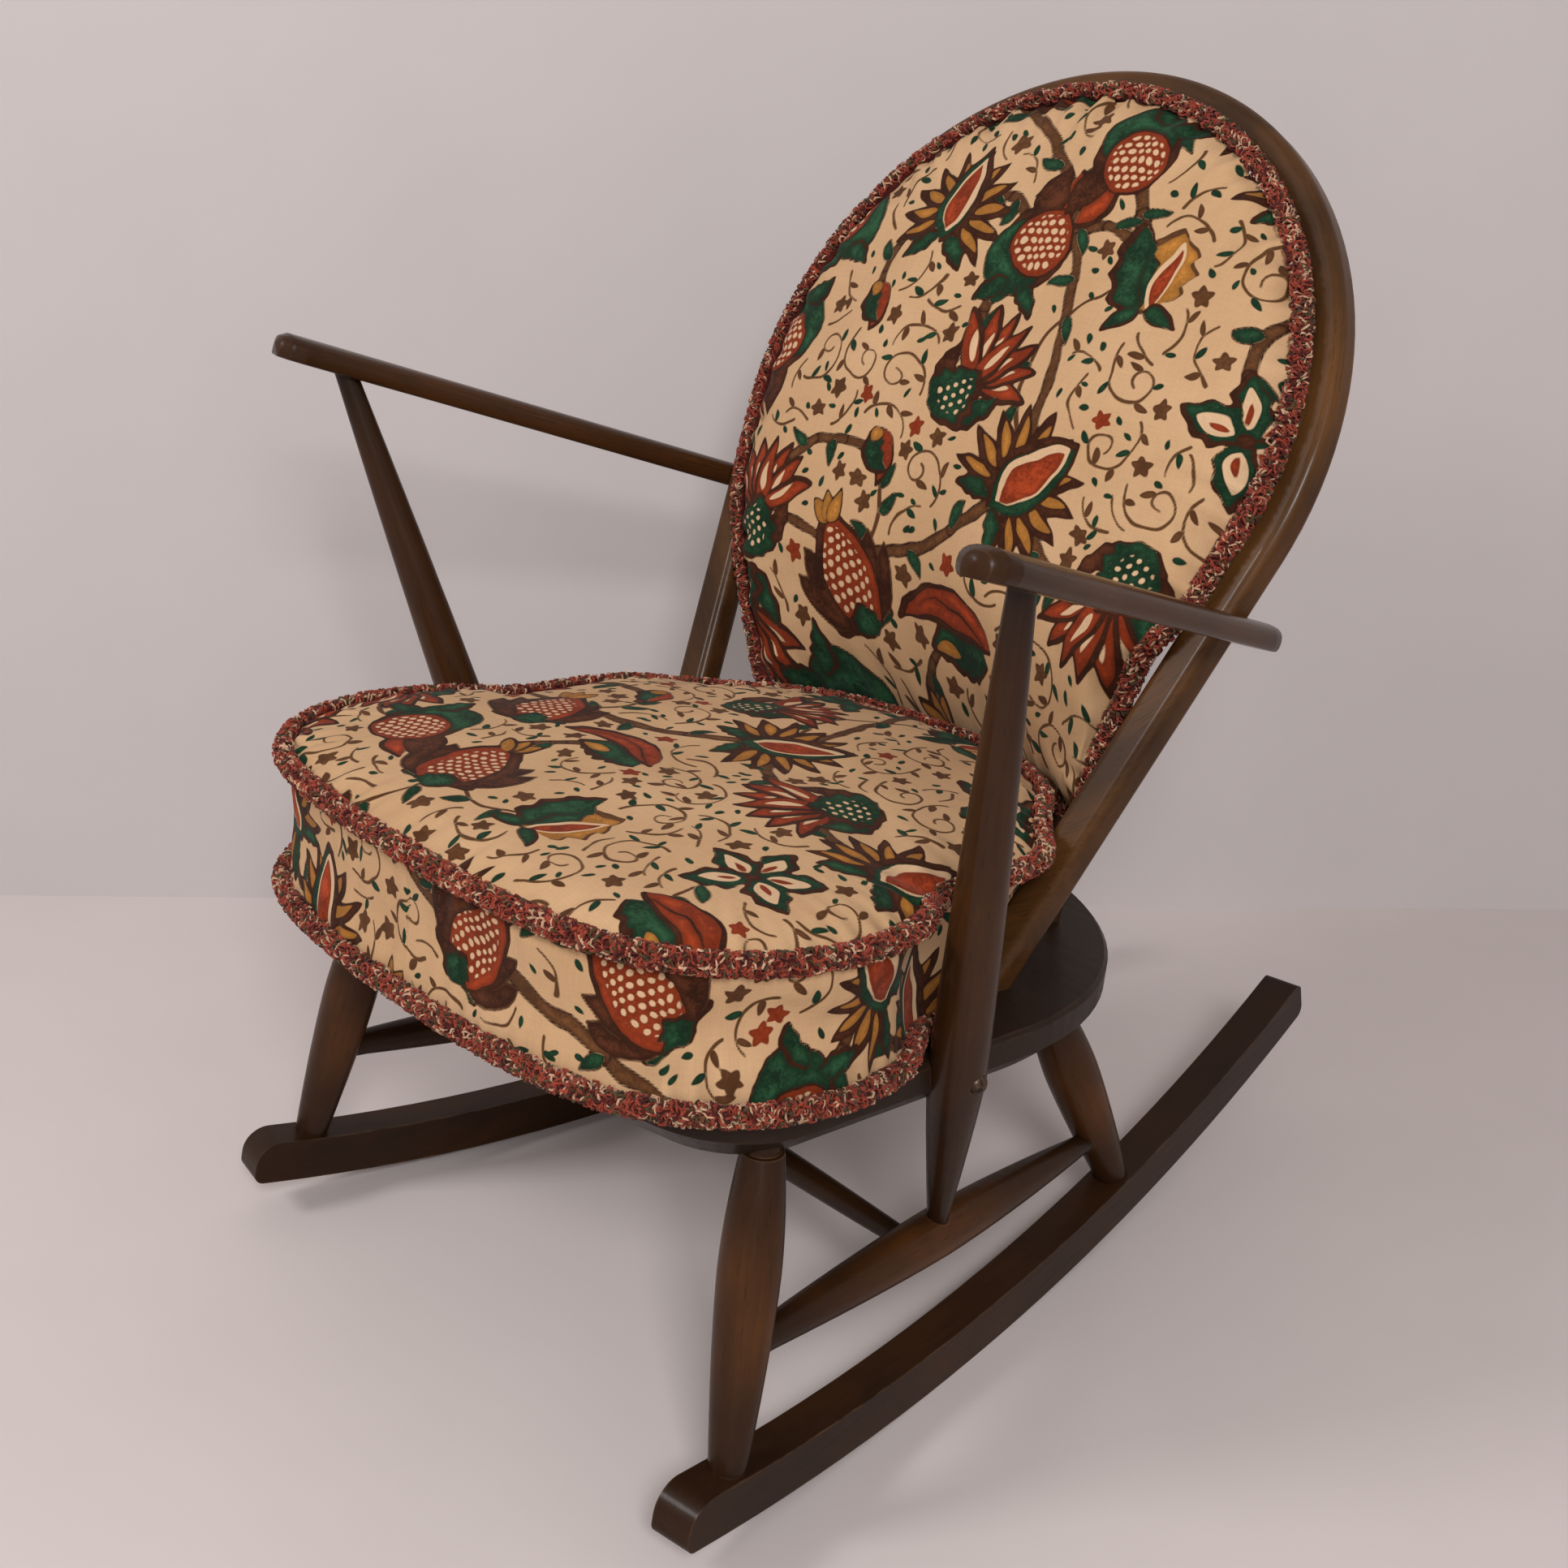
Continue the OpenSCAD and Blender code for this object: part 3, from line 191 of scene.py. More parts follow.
class Shade:
    """Adds nodes to a shader tree; a socket that is given is linked, anything else is a value."""

    def __init__(self, tree):
        self.tree = tree

    def feed(self, node, inputs):
        for key, value in inputs.items():
            if isinstance(value, bpy.types.NodeSocket):
                self.tree.links.new(value, node.inputs[key])
            else:
                node.inputs[key].default_value = value

    def node(self, kind, inputs=None, **settings):
        node = self.tree.nodes.new("ShaderNode" + kind)
        for name, value in settings.items():
            setattr(node, name, value)
        self.feed(node, inputs or {})
        return node

    def math(self, operation, *values, clamp=False):
        return self.node("Math", dict(enumerate(values)), operation=operation,
                         use_clamp=clamp).outputs[0]

    def times(self, first, second, clamp=False):
        return self.math("MULTIPLY", first, second, clamp=clamp)

    def weighed(self, first, first_share, second, second_share):
        """The sum of two values, each times its share."""
        return self.math("ADD", self.times(first, first_share), self.times(second, second_share))

    def remap(self, value, low, high, to_low=0.0, to_high=1.0, kind="LINEAR"):
        """Maps value from low..high to to_low..to_high, clamped."""
        return self.node("MapRange", {
            "Value": value, "From Min": low, "From Max": high, "To Min": to_low,
            "To Max": to_high}, interpolation_type=kind).outputs["Result"]

    def mix(self, share, first, second, mode="MIX"):
        colours = [c if isinstance(c, bpy.types.NodeSocket) else (*c[:3], 1.0)
                   for c in (first, second)]
        return self.node("Mix", {0: share, 6: colours[0], 7: colours[1]},
                         data_type="RGBA", blend_type=mode).outputs[2]

    def shaded(self, colour, value):
        """A colour times one value."""
        grey = self.node("CombineXYZ", {0: value, 1: value, 2: value}).outputs[0]
        return self.mix(1.0, colour, grey, "MULTIPLY")

    def noise(self, vector, scale, detail=3.0, roughness=0.5, distortion=0.0):
        return self.node("TexNoise", {
            "Vector": vector, "Scale": scale, "Detail": detail, "Roughness": roughness,
            "Distortion": distortion}).outputs["Fac"]

    def streaky(self, vector, scale, detail=3.0, roughness=0.5, distortion=0.0):
        """Noise with a scale of its own along each axis."""
        stretched = self.node("Mapping", {"Vector": vector, "Scale": scale},
                              vector_type="POINT").outputs[0]
        return self.noise(stretched, 1.0, detail, roughness, distortion)

    def place(self):
        return self.node("TexCoord").outputs["Object"]

    def turned_place(self, turn, origin):
        """Object coordinates seen from an origin and turned."""
        return self.node("Mapping", {
            "Vector": self.place(), "Rotation": turn.to_euler(),
            "Location": -(turn @ origin)}, vector_type="POINT").outputs[0]

    def split(self, vector):
        return self.node("SeparateXYZ", {0: vector}).outputs

    def ramp(self, value, stops, interpolation):
        """Colours along a value; stops are (place, red, green, blue)."""
        node = self.node("ValToRGB", {"Fac": value})
        while len(node.color_ramp.elements) < len(stops):
            node.color_ramp.elements.new(0.5)
        for element, (at, *colour) in zip(node.color_ramp.elements, stops):
            element.position = at
            element.color = (*colour, 1)
        node.color_ramp.interpolation = interpolation
        return node.outputs[0]

    def bump(self, height, distance, strength):
        return self.node("Bump", {"Height": height, "Distance": distance, "Strength": strength})

    def group(self, name, inputs):
        return self.node("Group", inputs, node_tree=bpy.data.node_groups[name]).outputs


def new_group(name, inputs, outputs):
    """An empty node group; inputs are (name, socket kind, default), outputs are names."""
    group = bpy.data.node_groups.new(name, "ShaderNodeTree")
    for title, kind, value in inputs:
        socket = group.interface.new_socket(
            name=title, in_out="INPUT", socket_type="NodeSocket" + kind)
        if value is not None:
            socket.default_value = value
    for title in outputs:
        group.interface.new_socket(name=title, in_out="OUTPUT", socket_type="NodeSocketFloat")
    return Shade(group), group.nodes.new("NodeGroupInput").outputs, group.nodes.new("NodeGroupOutput")


def make_grain_group():
    """Wood grain along Z: streaks, short pores and broad clouds of stain."""
    shade, given, out = new_group(
        "wood_grain", [("Vector", "Vector", None), ("Scale", "Float", 1.0)],
        ["Streaks", "Pores", "Clouds"])
    scaled = shade.node("VectorMath", {0: given["Vector"], "Scale": given["Scale"]},
                        operation="SCALE").outputs[0]
    streaks = shade.streaky(scaled, (260, 260, 9), detail=5.0, roughness=0.6, distortion=0.4)
    pores = shade.streaky(scaled, (900, 900, 55), detail=2.0)
    clouds = shade.streaky(scaled, (22, 22, 11), roughness=0.55)
    shade.feed(out, {
        "Streaks": shade.remap(streaks, 0.3, 0.7),
        "Pores": shade.remap(pores, 0.6, 0.72, kind="SMOOTHSTEP"),
        "Clouds": shade.remap(clouds, 0.32, 0.68)})


def make_wear_group():
    """Mask of the edges, broken up by noise."""
    shade, given, out = new_group(
        "edge_wear", [("Vector", "Vector", None), ("Radius", "Float", 0.002),
                      ("Amount", "Float", 0.5)], ["Mask"])
    soft = shade.node("Bevel", {"Radius": given["Radius"]}, samples=4)
    sharp = shade.node("NewGeometry").outputs["Normal"]
    dot = shade.node("VectorMath", {0: soft.outputs[0], 1: sharp}, operation="DOT_PRODUCT")
    edge = shade.remap(dot.outputs["Value"], 0.995, 0.86)
    spots = shade.noise(given["Vector"], 38.0, detail=5.0, roughness=0.65)
    patches = shade.remap(spots, 0.42, 0.66)
    worn = shade.times(edge, patches)
    shade.feed(out, {"Mask": shade.times(worn, given["Amount"], clamp=True)})


def make_weave_group():
    """Plain weave on the cloth's own map in metres: height of the threads and uneven yarn."""
    shade, given, out = new_group(
        "plain_weave", [("Vector", "Vector", None), ("Threads", "Float", 1500.0)],
        ["Height", "Slubs"])
    flat = shade.split(given["Vector"])
    waves = []
    for axis in "XY":
        turns = shade.times(flat[axis], given["Threads"])
        waves.append(shade.math("SINE", shade.times(turns, math.pi)))
    across = shade.streaky(given["Vector"], (60, 900, 1), detail=2.0)
    along = shade.streaky(given["Vector"], (900, 60, 1), detail=2.0)
    shade.feed(out, {"Height": shade.remap(shade.times(*waves), -1.0, 1.0),
                     "Slubs": shade.weighed(across, 0.5, along, 0.5)})


def new_material(name):
    material = bpy.data.materials.new(name)
    material.use_nodes = True
    return material, Shade(material.node_tree), material.node_tree.nodes["Principled BSDF"]


def give(node, material):
    """Puts one material on a CAD node or a piece."""
    node.data.materials.clear()
    node.data.materials.append(material)


# Wood

# Radius over which the arms' narrow facets are rounded off, and that of a worn edge, in metres.
ARM_SOFTEN, WORN_RADIUS = 0.005, 0.0022
# Near black at both ends: painted shade at the joints, where the seat, the rockers and other parts
# meet a leg or stretcher.
ENDS_DARK = [(0.0, 0.02), (0.20, 0.24), (0.5, 0.92), (0.80, 0.30), (1.0, 0.03)]
EVEN = [(0.0, 0.30), (0.5, 0.55), (1.0, 0.34)]
# For each kind of part: the warm colour, how much of it shows along the part as (place, share),
# how much rougher it is than the legs, and its coat of polish.
WOOD_LOOKS = {
    "rocker": ("glow", [(0.0, 0.10), (0.3, 0.20), (0.7, 0.30), (1.0, 0.14)], 0.04, 0.07),
    "front_leg": ("glow", ENDS_DARK, 0.0, 0.11),
    "rear_leg": ("glow", ENDS_DARK, 0.0, 0.11),
    "side_stretcher": ("glow", ENDS_DARK, 0.0, 0.11),
    "cross_stretcher": ("glow", ENDS_DARK, 0.0, 0.11),
    # The post's dark ends are painted shade where it meets the seat and the arm.
    "arm_post": ("glow", [(0.0, 0.10), (0.3, 0.30), (0.55, 0.42), (0.85, 0.30), (1.0, 0.06)],
                 -0.01, 0.16),
    "stick": ("hoop", EVEN, 0.04, 0.06),
    "arm": ("glow", [(0.0, 0.55), (0.5, 0.62), (0.8, 0.5), (1.0, 0.3)], -0.12, 0.15),
    "seat": ("board", EVEN, 0.06, 0.06),
    "hoop": ("hoop", [(0.0, 0.55), (0.5, 0.62), (1.0, 0.5)], 0.02, 0.12),
}


def longest_line(node):
    """The two ends of a node along its longest direction, in metres."""
    points = vertex_values(node.data, "co")
    middle = points.mean(0)
    axis = np.linalg.svd(points[::7] - middle, full_matrices=False)[2][0]
    if axis[2] < 0 or (abs(axis[2]) < 0.3 and axis[1] > 0):
        axis = -axis
    along = (points - middle) @ axis
    return middle + axis * along.min(), middle + axis * along.max()


def piece_space(shade, start, end):
    """Object coordinates turned so that Z runs from start to end."""
    direction = Vector(end - start).normalized()
    turn = direction.rotation_difference(Vector((0, 0, 1))).to_matrix()
    return shade.turned_place(turn, Vector(start))


def hoop_space(shade):
    """Object coordinates of the bent hoop: Z runs round the arch."""
    centre = Vector(HOOP.out((0, HOOP_RISE, 0)))
    flat = shade.split(shade.turned_place(Matrix.Rotation(HOOP_LEAN, 3, "X"), centre))
    round_by = shade.math("ARCTAN2", flat["X"], flat["Z"])
    squares = shade.math("ADD", shade.math("POWER", flat["X"], 2.0),
                         shade.math("POWER", flat["Z"], 2.0))
    return shade.node("CombineXYZ", {
        0: shade.math("SQRT", squares), 1: flat["Y"],
        2: shade.times(round_by, HOOP_RADIUS * MM)}).outputs[0]


def wood_space(shade, kind, node):
    """Coordinates whose Z runs along the grain, and the part's length that way."""
    if kind == "hoop":
        return hoop_space(shade), math.pi * HOOP_RADIUS * MM
    start, end = longest_line(node)
    if kind == "seat":
        low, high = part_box("seat")
        start, end = np.array([low.x, 0, high.z]), np.array([high.x, 0, high.z])
    return piece_space(shade, start, end), float(np.linalg.norm(end - start))


def wood_material(kind, name, node):
    """Stained wood: a warm middle and dark ends along its length (on legs, posts and stretchers the
    dark ends are painted shade at the joints), grain, pores, worn edges.
    """
    look = bpy.context.scene.chair_wood
    warm, stops, rougher, coat = WOOD_LOOKS[kind]
    roughness = look.roughness + rougher
    material, shade, shader = new_material(name)
    vector, length = wood_space(shade, kind, node)
    grain = shade.group("wood_grain", {"Vector": vector, "Scale": 1.0})
    streaks, pores, clouds = (grain[n] for n in ("Streaks", "Pores", "Clouds"))
    # How much warm colour shows along the part; its dark ends on legs, posts and stretchers are
    # painted shade at the joints.
    shows = shade.ramp(shade.math("DIVIDE", shade.split(vector)["Z"], length),
                       [(at, share, share, share) for at, share in stops], "EASE")
    # The warm share: thin stain in the clouds and streaks, kept low at the ends as painted shade at
    # the joints.
    thin = shade.times(shows, shade.remap(clouds, 0, 1, 0.42, 1.25))
    thin = shade.times(thin, shade.remap(streaks, 0, 1, 0.72, 1.12), clamp=True)
    base = shade.mix(thin, look.stain, getattr(look, warm))
    base = shade.mix(shade.times(pores, 0.55), base, look.stain)
    worn = shade.group("edge_wear", {
        "Vector": vector, "Radius": WORN_RADIUS, "Amount": look.wear})["Mask"]
    satin = shade.remap(streaks, 0, 1, roughness - 0.05, roughness + 0.07)
    bump = shade.bump(shade.weighed(streaks, 0.5, pores, -0.6), 0.00012, 0.6)
    if kind == "arm":
        rounded = shade.node("Bevel", {"Radius": ARM_SOFTEN}, samples=8)
        shade.feed(bump, {"Normal": rounded.outputs[0]})
    shade.feed(shader, {
        "Base Color": shade.mix(worn, base, look.bare),
        "Roughness": shade.math("ADD", satin, shade.times(worn, 0.18), clamp=True),
        "Normal": bump.outputs[0], "Specular IOR Level": 0.11,
        "Coat Weight": coat, "Coat Roughness": 0.16})
    return material


class CHAIR_OT_dress_wood(bpy.types.Operator):
    """Give each wooden part its stained finish, with the grain along the part"""
    bl_idname = "chair.dress_wood"
    bl_label = "Dress the wood"

    def execute(self, context):
        make_grain_group()
        make_wear_group()
        for slot in frame["record"]["subparts"]:
            name = slot["node"]
            if not slot["material_slot"].endswith("_wood"):
                continue
            node = frame["nodes"][name]
            kind = max((k for k in WOOD_LOOKS if name.startswith(k)), key=len)
            title = "seat_board_wood" if kind == "seat" else name + "_wood"
            give(node, wood_material(kind, title, node))
        return {"FINISHED"}


class CHAIR_OT_dress_metal(bpy.types.Operator):
    """Give the bolts and screws a browned steel finish"""
    bl_idname = "chair.dress_metal"
    bl_label = "Dress the bolts and screws"

    def execute(self, context):
        material, shade, shader = new_material("browned_steel")
        place = shade.place()
        rust = shade.remap(shade.noise(place, 260.0, detail=4.0, roughness=0.6), 0.4, 0.7)
        scratches = shade.streaky(place, (1500, 300, 300))
        shade.feed(shader, {
            "Base Color": shade.mix(rust, (0.035, 0.024, 0.018), (0.10, 0.055, 0.03)),
            "Roughness": shade.remap(rust, 0, 1, 0.30, 0.55),
            "Metallic": shade.remap(rust, 0, 1, 0.9, 0.35),
            "Normal": shade.bump(scratches, 0.0001, 0.5).outputs[0]})
        for name in ("post_bolts", "arm_screws"):
            give(frame["nodes"][name], material)
        return {"FINISHED"}


# Mesh helpers

def place_piece(name, mesh):
    piece = bpy.data.objects.new(name, mesh)
    bpy.context.scene.collection.objects.link(piece)
    return piece


def vertex_values(mesh, name):
    """Coordinates (co) or normals (normal) of all vertices, one row each."""
    values = np.zeros(len(mesh.vertices) * 3)
    mesh.vertices.foreach_get(name, values)
    return values.reshape(-1, 3)


def select_only(piece=None):
    for other in list(bpy.context.selected_objects):
        other.select_set(False)
    if piece:
        bpy.context.view_layer.objects.active = piece
        piece.select_set(True)


def point_attribute(mesh, name, values):
    made = mesh.attributes.new(name, "FLOAT", "POINT")
    made.data.foreach_set("value", values.astype(np.float32))


# The print

INKS = ("stem", "line", "maroon", "rust", "green", "ochre", "cream")
# How much paler each ink is where it lies thin.
PALE = {"stem": 2.6, "line": 1.5, "maroon": 3.4, "rust": 2.4, "green": 3.8, "ochre": 2.0,
        "cream": 0.8}
# The repeat in millimetres, half the soft edge of an ink, and how far inks run under another.
REPEAT_W, REPEAT_H = 540, 640
INK_EDGE, INK_OVERLAP = 0.35, 0.5
# How often a place is tried for a motif, a scroll and a floret, how far the motifs are apart,
# how far the scrolls keep off other forms, and the length of their steps.
MOTIF_TRIES, SCROLL_TRIES, FLORET_TRIES = 6000, 4200, 3600
MOTIF_APART, SCROLL_ROOM, SCROLL_STEP = 89, 4.5, 3.0


def polygon_distance(points, x, y):
    """Signed distance from a polygon's edge, negative inside."""
    nearest = np.full(x.shape, FAR)
    sign = np.ones(x.shape)
    for (ax, ay), (bx, by) in zip(points, np.roll(points, 1, axis=0)):
        ex, ey = bx - ax, by - ay
        wx, wy = x - ax, y - ay
        t = np.clip((wx * ex + wy * ey) / (ex * ex + ey * ey + 1e-9), 0, 1)
        nearest = np.minimum(nearest, (wx - ex * t) ** 2 + (wy - ey * t) ** 2)
        above, under, left = y >= ay, y < by, ex * wy > ey * wx
        sign = np.where((above & under & left) | (~above & ~under & ~left), -sign, sign)
    return sign * np.sqrt(nearest)


class Print:
    """One repeat of the printed cotton: for each ink the distance to its edge, in millimetres."""

    def __init__(self):
        self.inks = {name: np.full((REPEAT_H, REPEAT_W), 40.0) for name in INKS}
        self.used = np.full((REPEAT_H, REPEAT_W), 200.0)

    def window(self, points, margin):
        points = np.asarray(points)
        low = np.floor(points.min(0) - margin).astype(int)
        high = np.ceil(points.max(0) + margin).astype(int)
        cols, rows = np.arange(low[0], high[0]), np.arange(low[1], high[1])
        x, y = np.meshgrid(cols.astype(float), rows.astype(float))
        return np.ix_(rows % REPEAT_H, cols % REPEAT_W), x, y

    def lay(self, index, distance, ink):
        """Prints one shape over what is there, which ends a little way inside it."""
        for name, field in self.inks.items():
            if name == ink:
                field[index] = np.minimum(field[index], distance)
            else:
                field[index] = np.maximum(field[index], -INK_OVERLAP - distance)
        self.used[index] = np.minimum(self.used[index], distance)

    def shape(self, points, ink, rim=None, rim_width=1.6, margin=10):
        index, x, y = self.window(points, margin)
        distance = polygon_distance(points, x, y)
        if rim:
            self.lay(index, distance - rim_width, rim)
        self.lay(index, distance, ink)
        return index, x, y, distance

    def lattice(self, made, spacing, radius, inset, ink, turn=0.6):
        """Rows of dots inside a shape."""
        index, x, y, distance = made
        u = x * math.cos(turn) + y * math.sin(turn)
        v = y * math.cos(turn) - x * math.sin(turn)
        row = np.round(v / spacing)
        u = u + (row % 2) * spacing / 2
        dots = np.hypot(u - np.round(u / spacing) * spacing, v - row * spacing) - radius
        self.lay(index, np.maximum(dots, distance + inset), ink)

    def stroke(self, points, widths, ink, rim=None, rim_width=1.2):
        """A brush line through points with the given widths."""
        points = np.asarray(points, float)
        widths = np.broadcast_to(widths, len(points))
        for k in range(0, len(points) - 1, 4):
            part = points[k:k + 5]
            index, x, y = self.window(part, widths.max() / 2 + 8)
            distance = np.full(x.shape, FAR)
            for i in range(len(part) - 1):
                (ax, ay), (bx, by) = part[i], part[i + 1]
                ex, ey = bx - ax, by - ay
                t = np.clip(((x - ax) * ex + (y - ay) * ey) / (ex * ex + ey * ey + 1e-9), 0, 1)
                half = (widths[k + i] * (1 - t) + widths[k + i + 1] * t) / 2
                distance = np.minimum(
                    distance, np.hypot(x - ax - ex * t, y - ay - ey * t) - half)
            if rim:
                self.lay(index, distance - rim_width, rim)
            self.lay(index, distance, ink)

    def free(self, x, y):
        return self.used[int(round(y)) % REPEAT_H, int(round(x)) % REPEAT_W]

    def read(self, name, u, v):
        """Value of an ink's field at cloth places u, v in millimetres, between grid points."""
        field = self.inks[name]
        c, r = np.floor(u).astype(int), np.floor(v).astype(int)
        fu, fv = u - c, v - r
        c0, c1, r0, r1 = c % REPEAT_W, (c + 1) % REPEAT_W, r % REPEAT_H, (r + 1) % REPEAT_H
        return ((field[r0, c0] * (1 - fu) + field[r0, c1] * fu) * (1 - fv)
                + (field[r1, c0] * (1 - fu) + field[r1, c1] * fu) * fv)


def blade(base, heading, length, width, bend=0.0, lobes=0, full=0.8):
    """Outline of a petal or leaf that may curl and may have a scalloped edge."""
    t = np.linspace(0, 1, 15 if lobes else 11)
    angle = heading + bend * t
    step = length / (len(t) - 1)
    spine = np.array(base) + step * np.cumsum(
        np.vstack([[0, 0], np.c_[np.cos(angle), np.sin(angle)][:-1]]), axis=0)
    half = width / 2 * np.sin(math.pi * t ** full) ** 0.8
    if lobes:
        half = half * (1 + 0.16 * np.cos(math.tau * lobes * t))
    side = np.c_[-np.sin(angle), np.cos(angle)] * half[:, None]
    return np.vstack([spine + side, (spine - side)[::-1]])


class Spot:
    """Place, turn, size and hand of one motif."""

    def __init__(self, sheet, x, y, turn, size=1.0, flip=1):
        self.sheet, self.place, self.turn = sheet, np.array([x, y]), turn
        self.size, self.flip = size, flip

    def at(self, x, y):
        c, s = math.cos(self.turn), math.sin(self.turn)
        x *= self.flip
        return self.place + self.size * np.array([c * x - s * y, s * x + c * y])

    def petal(self, base, degrees, length, width, bend=0, ink="maroon", rim="maroon",
              rim_width=1.5, lobes=0, full=0.8):
        """Degrees are from the motif's right-hand side, 90 is up."""
        heading = self.turn + math.radians(degrees if self.flip > 0 else 180 - degrees)
        bow = math.radians(bend) * self.flip
        length, width = length * self.size, width * self.size
        shaded = width > 11 and ink in ("rust", "green", "ochre") and rim
        made = self.sheet.shape(
            blade(self.at(*base), heading, length, width, bow, lobes, full),
            rim if shaded else ink, rim if rim != ink else None, rim_width)
        if shaded:
            shift = np.array([-math.sin(heading), math.cos(heading)]) * width * 0.06 * self.flip
            self.sheet.shape(blade(self.at(*base) + shift, heading, length * 0.96,
                                   width * 0.87, bow, lobes, full), ink)
        return made

    def disc(self, base, radius, ink, rim="maroon", rim_width=1.5):
        turns = np.linspace(0, math.tau, 20, endpoint=False)
        return self.sheet.shape(
            self.at(*base) + radius * self.size * np.c_[np.cos(turns), np.sin(turns)],
            ink, rim if rim != ink else None, rim_width)

    def line(self, points, widths, ink="maroon"):
        self.sheet.stroke([self.at(*p) for p in points], widths, ink)

    def pair(self, base, degrees, length, width, bend, lobes=0):
        """Two green leaves, one on each side, at degrees from upright."""
        for side in (1, -1):
            self.petal((base[0] * side, base[1]), 90 - degrees * side, length, width,
                       bend * side, "green", lobes=lobes)


def along(degrees, far, y=0):
    """The place far from (0, y) in the direction given in degrees."""
    return far * math.cos(math.radians(degrees)), y + far * math.sin(math.radians(degrees))


def pomegranate(spot):
    spot.pair((7, -30), 62, 48, 22, 88, lobes=4)
    for degrees, bend in ((168, -62), (138, -34), (42, 34), (12, 62)):
        spot.petal((0, -24), degrees, 58, 23, bend, "maroon", rim="stem", rim_width=1.3)
        spot.petal((0, -24), degrees + bend / 8, 34, 8, bend / 2, "stem", rim=None)
    body = spot.petal((0, -36), 90, 80, 52, 0, "rust", rim_width=3.4)
    spot.sheet.lattice(body, 6.6, 2.15, 6.5, "cream")
    for degrees in (58, 90, 122):
        spot.petal((0, 36), degrees, 24, 10, 0, "ochre")
    spot.petal((0, -38), 90, 22, 26, 0, "green", lobes=3)


def fan_flower(spot):
    for degrees in range(-32, 213, 24):
        spot.petal((0, -10), degrees, 54, 16, 8 if degrees > 90 else -8, "maroon")
        spot.petal(along(degrees, 17, -10), degrees, 28, 7, 0,
                   "ochre" if degrees % 48 else "cream", rim=None)
    spot.petal((0, -30), 90, 74, 38, 0, "green", rim_width=2.0)
    spot.petal((0, -22), 90, 58, 23, 0, "rust", rim="cream", rim_width=1.5)
    spot.pair((5, -28), 112, 30, 12, -40, lobes=3)


def thistle(spot):
    for degrees in (38, 58, 74, 106, 122, 142, 90):
        spot.petal((0, -8), degrees, 54, 15, (degrees - 90) / 3, "rust", rim_width=1.8)
        spot.petal(along(degrees, 14, -8), degrees, 24, 5, 0, "cream", rim=None)
    for side, ink in ((1, "green"), (-1, "maroon")):
        spot.petal((0, -34), 90 - 70 * side, 52, 18, 72 * side, ink, lobes=4)
    cup = spot.petal((0, -42), 90, 46, 42, 0, "green", rim_width=2.0, lobes=4, full=0.7)
    spot.sheet.lattice(cup, 6.8, 1.9, 6.0, "cream")


def rolled_leaf(spot):
    spot.petal((-40, -16), 24, 62, 30, -36, "green", lobes=5)
    spot.petal((-46, -6), 44, 104, 24, -84, "rust", rim_width=2.0)
    spot.line([(-40, -2), (-16, 14), (8, 20), (28, 14)], [2.6, 3.2, 2.6, 1.6], "maroon")
    spot.petal((-10, -10), 10, 26, 9, -20, "ochre", rim=None)


def round_fruit(spot):
    for degrees, bend, ink in ((128, -70, "maroon"), (52, 70, "rust"), (95, 10, "maroon")):
        spot.petal((0, 14), degrees, 50, 19, bend, ink)
    spot.disc((0, 0), 31, "maroon")
    spot.disc((-8, -9), 27, "green")
    inner = spot.disc((6, 5), 23.5, "rust", rim_width=2.2)
    spot.sheet.lattice(inner, 6.4, 2.3, 3.0, "cream", 0.2)
    spot.pair((4, -28), 105, 30, 13, -50, lobes=3)


def tulip(spot):
    spot.petal((0, -28), 100, 58, 46, 0, "ochre", rim="stem", lobes=4, full=0.9)
    spot.petal((4, -28), 66, 62, 32, 26, "green", lobes=4)
    spot.petal((-3, -26), 112, 46, 13, -14, "rust", rim="cream", rim_width=1.4)
    spot.line([(2, -24), (8, -4), (7, 16)], [2.8, 2.4, 1.4], "maroon")
    spot.pair((2, -28), 95, 24, 10, -40)


def star_leaf(spot):
    for degrees in (90, 152, 28, 214, -34):
        spot.petal((0, 0), degrees, 43, 23, 0, "green", lobes=3)
        spot.petal(along(degrees, 6), degrees, 28, 12, 0, "cream", rim=None)
        spot.petal(along(degrees, 8), degrees, 17, 5, 0, "rust", rim=None)
    spot.disc((0, 0), 5, "maroon")


def curled_pair(spot):
    spot.petal((0, -16), 120, 40, 16, -80, "rust")
    spot.petal((0, -16), 60, 34, 15, 80, "green", lobes=3)
    spot.disc((0, -12), 5, "ochre", rim_width=1.3)


def floret(sheet, x, y, turn, ink="stem"):
    """A small flower of five leaves."""
    spot = Spot(sheet, x, y, turn)
    for k in range(5):
        spot.petal((0, 0), 72 * k + 18, 8.4, 5.4, 0, ink, rim=None)


BIG_MOTIFS = (pomegranate, fan_flower, thistle, round_fruit, rolled_leaf, pomegranate, tulip,
              thistle, fan_flower, star_leaf, round_fruit, curled_pair)


def torus_gap(a, b):
    """Shortest way from a to b on the repeating cloth."""
    size = np.array([REPEAT_W, REPEAT_H])
    return (np.asarray(b) - a + size / 2) % size - size / 2


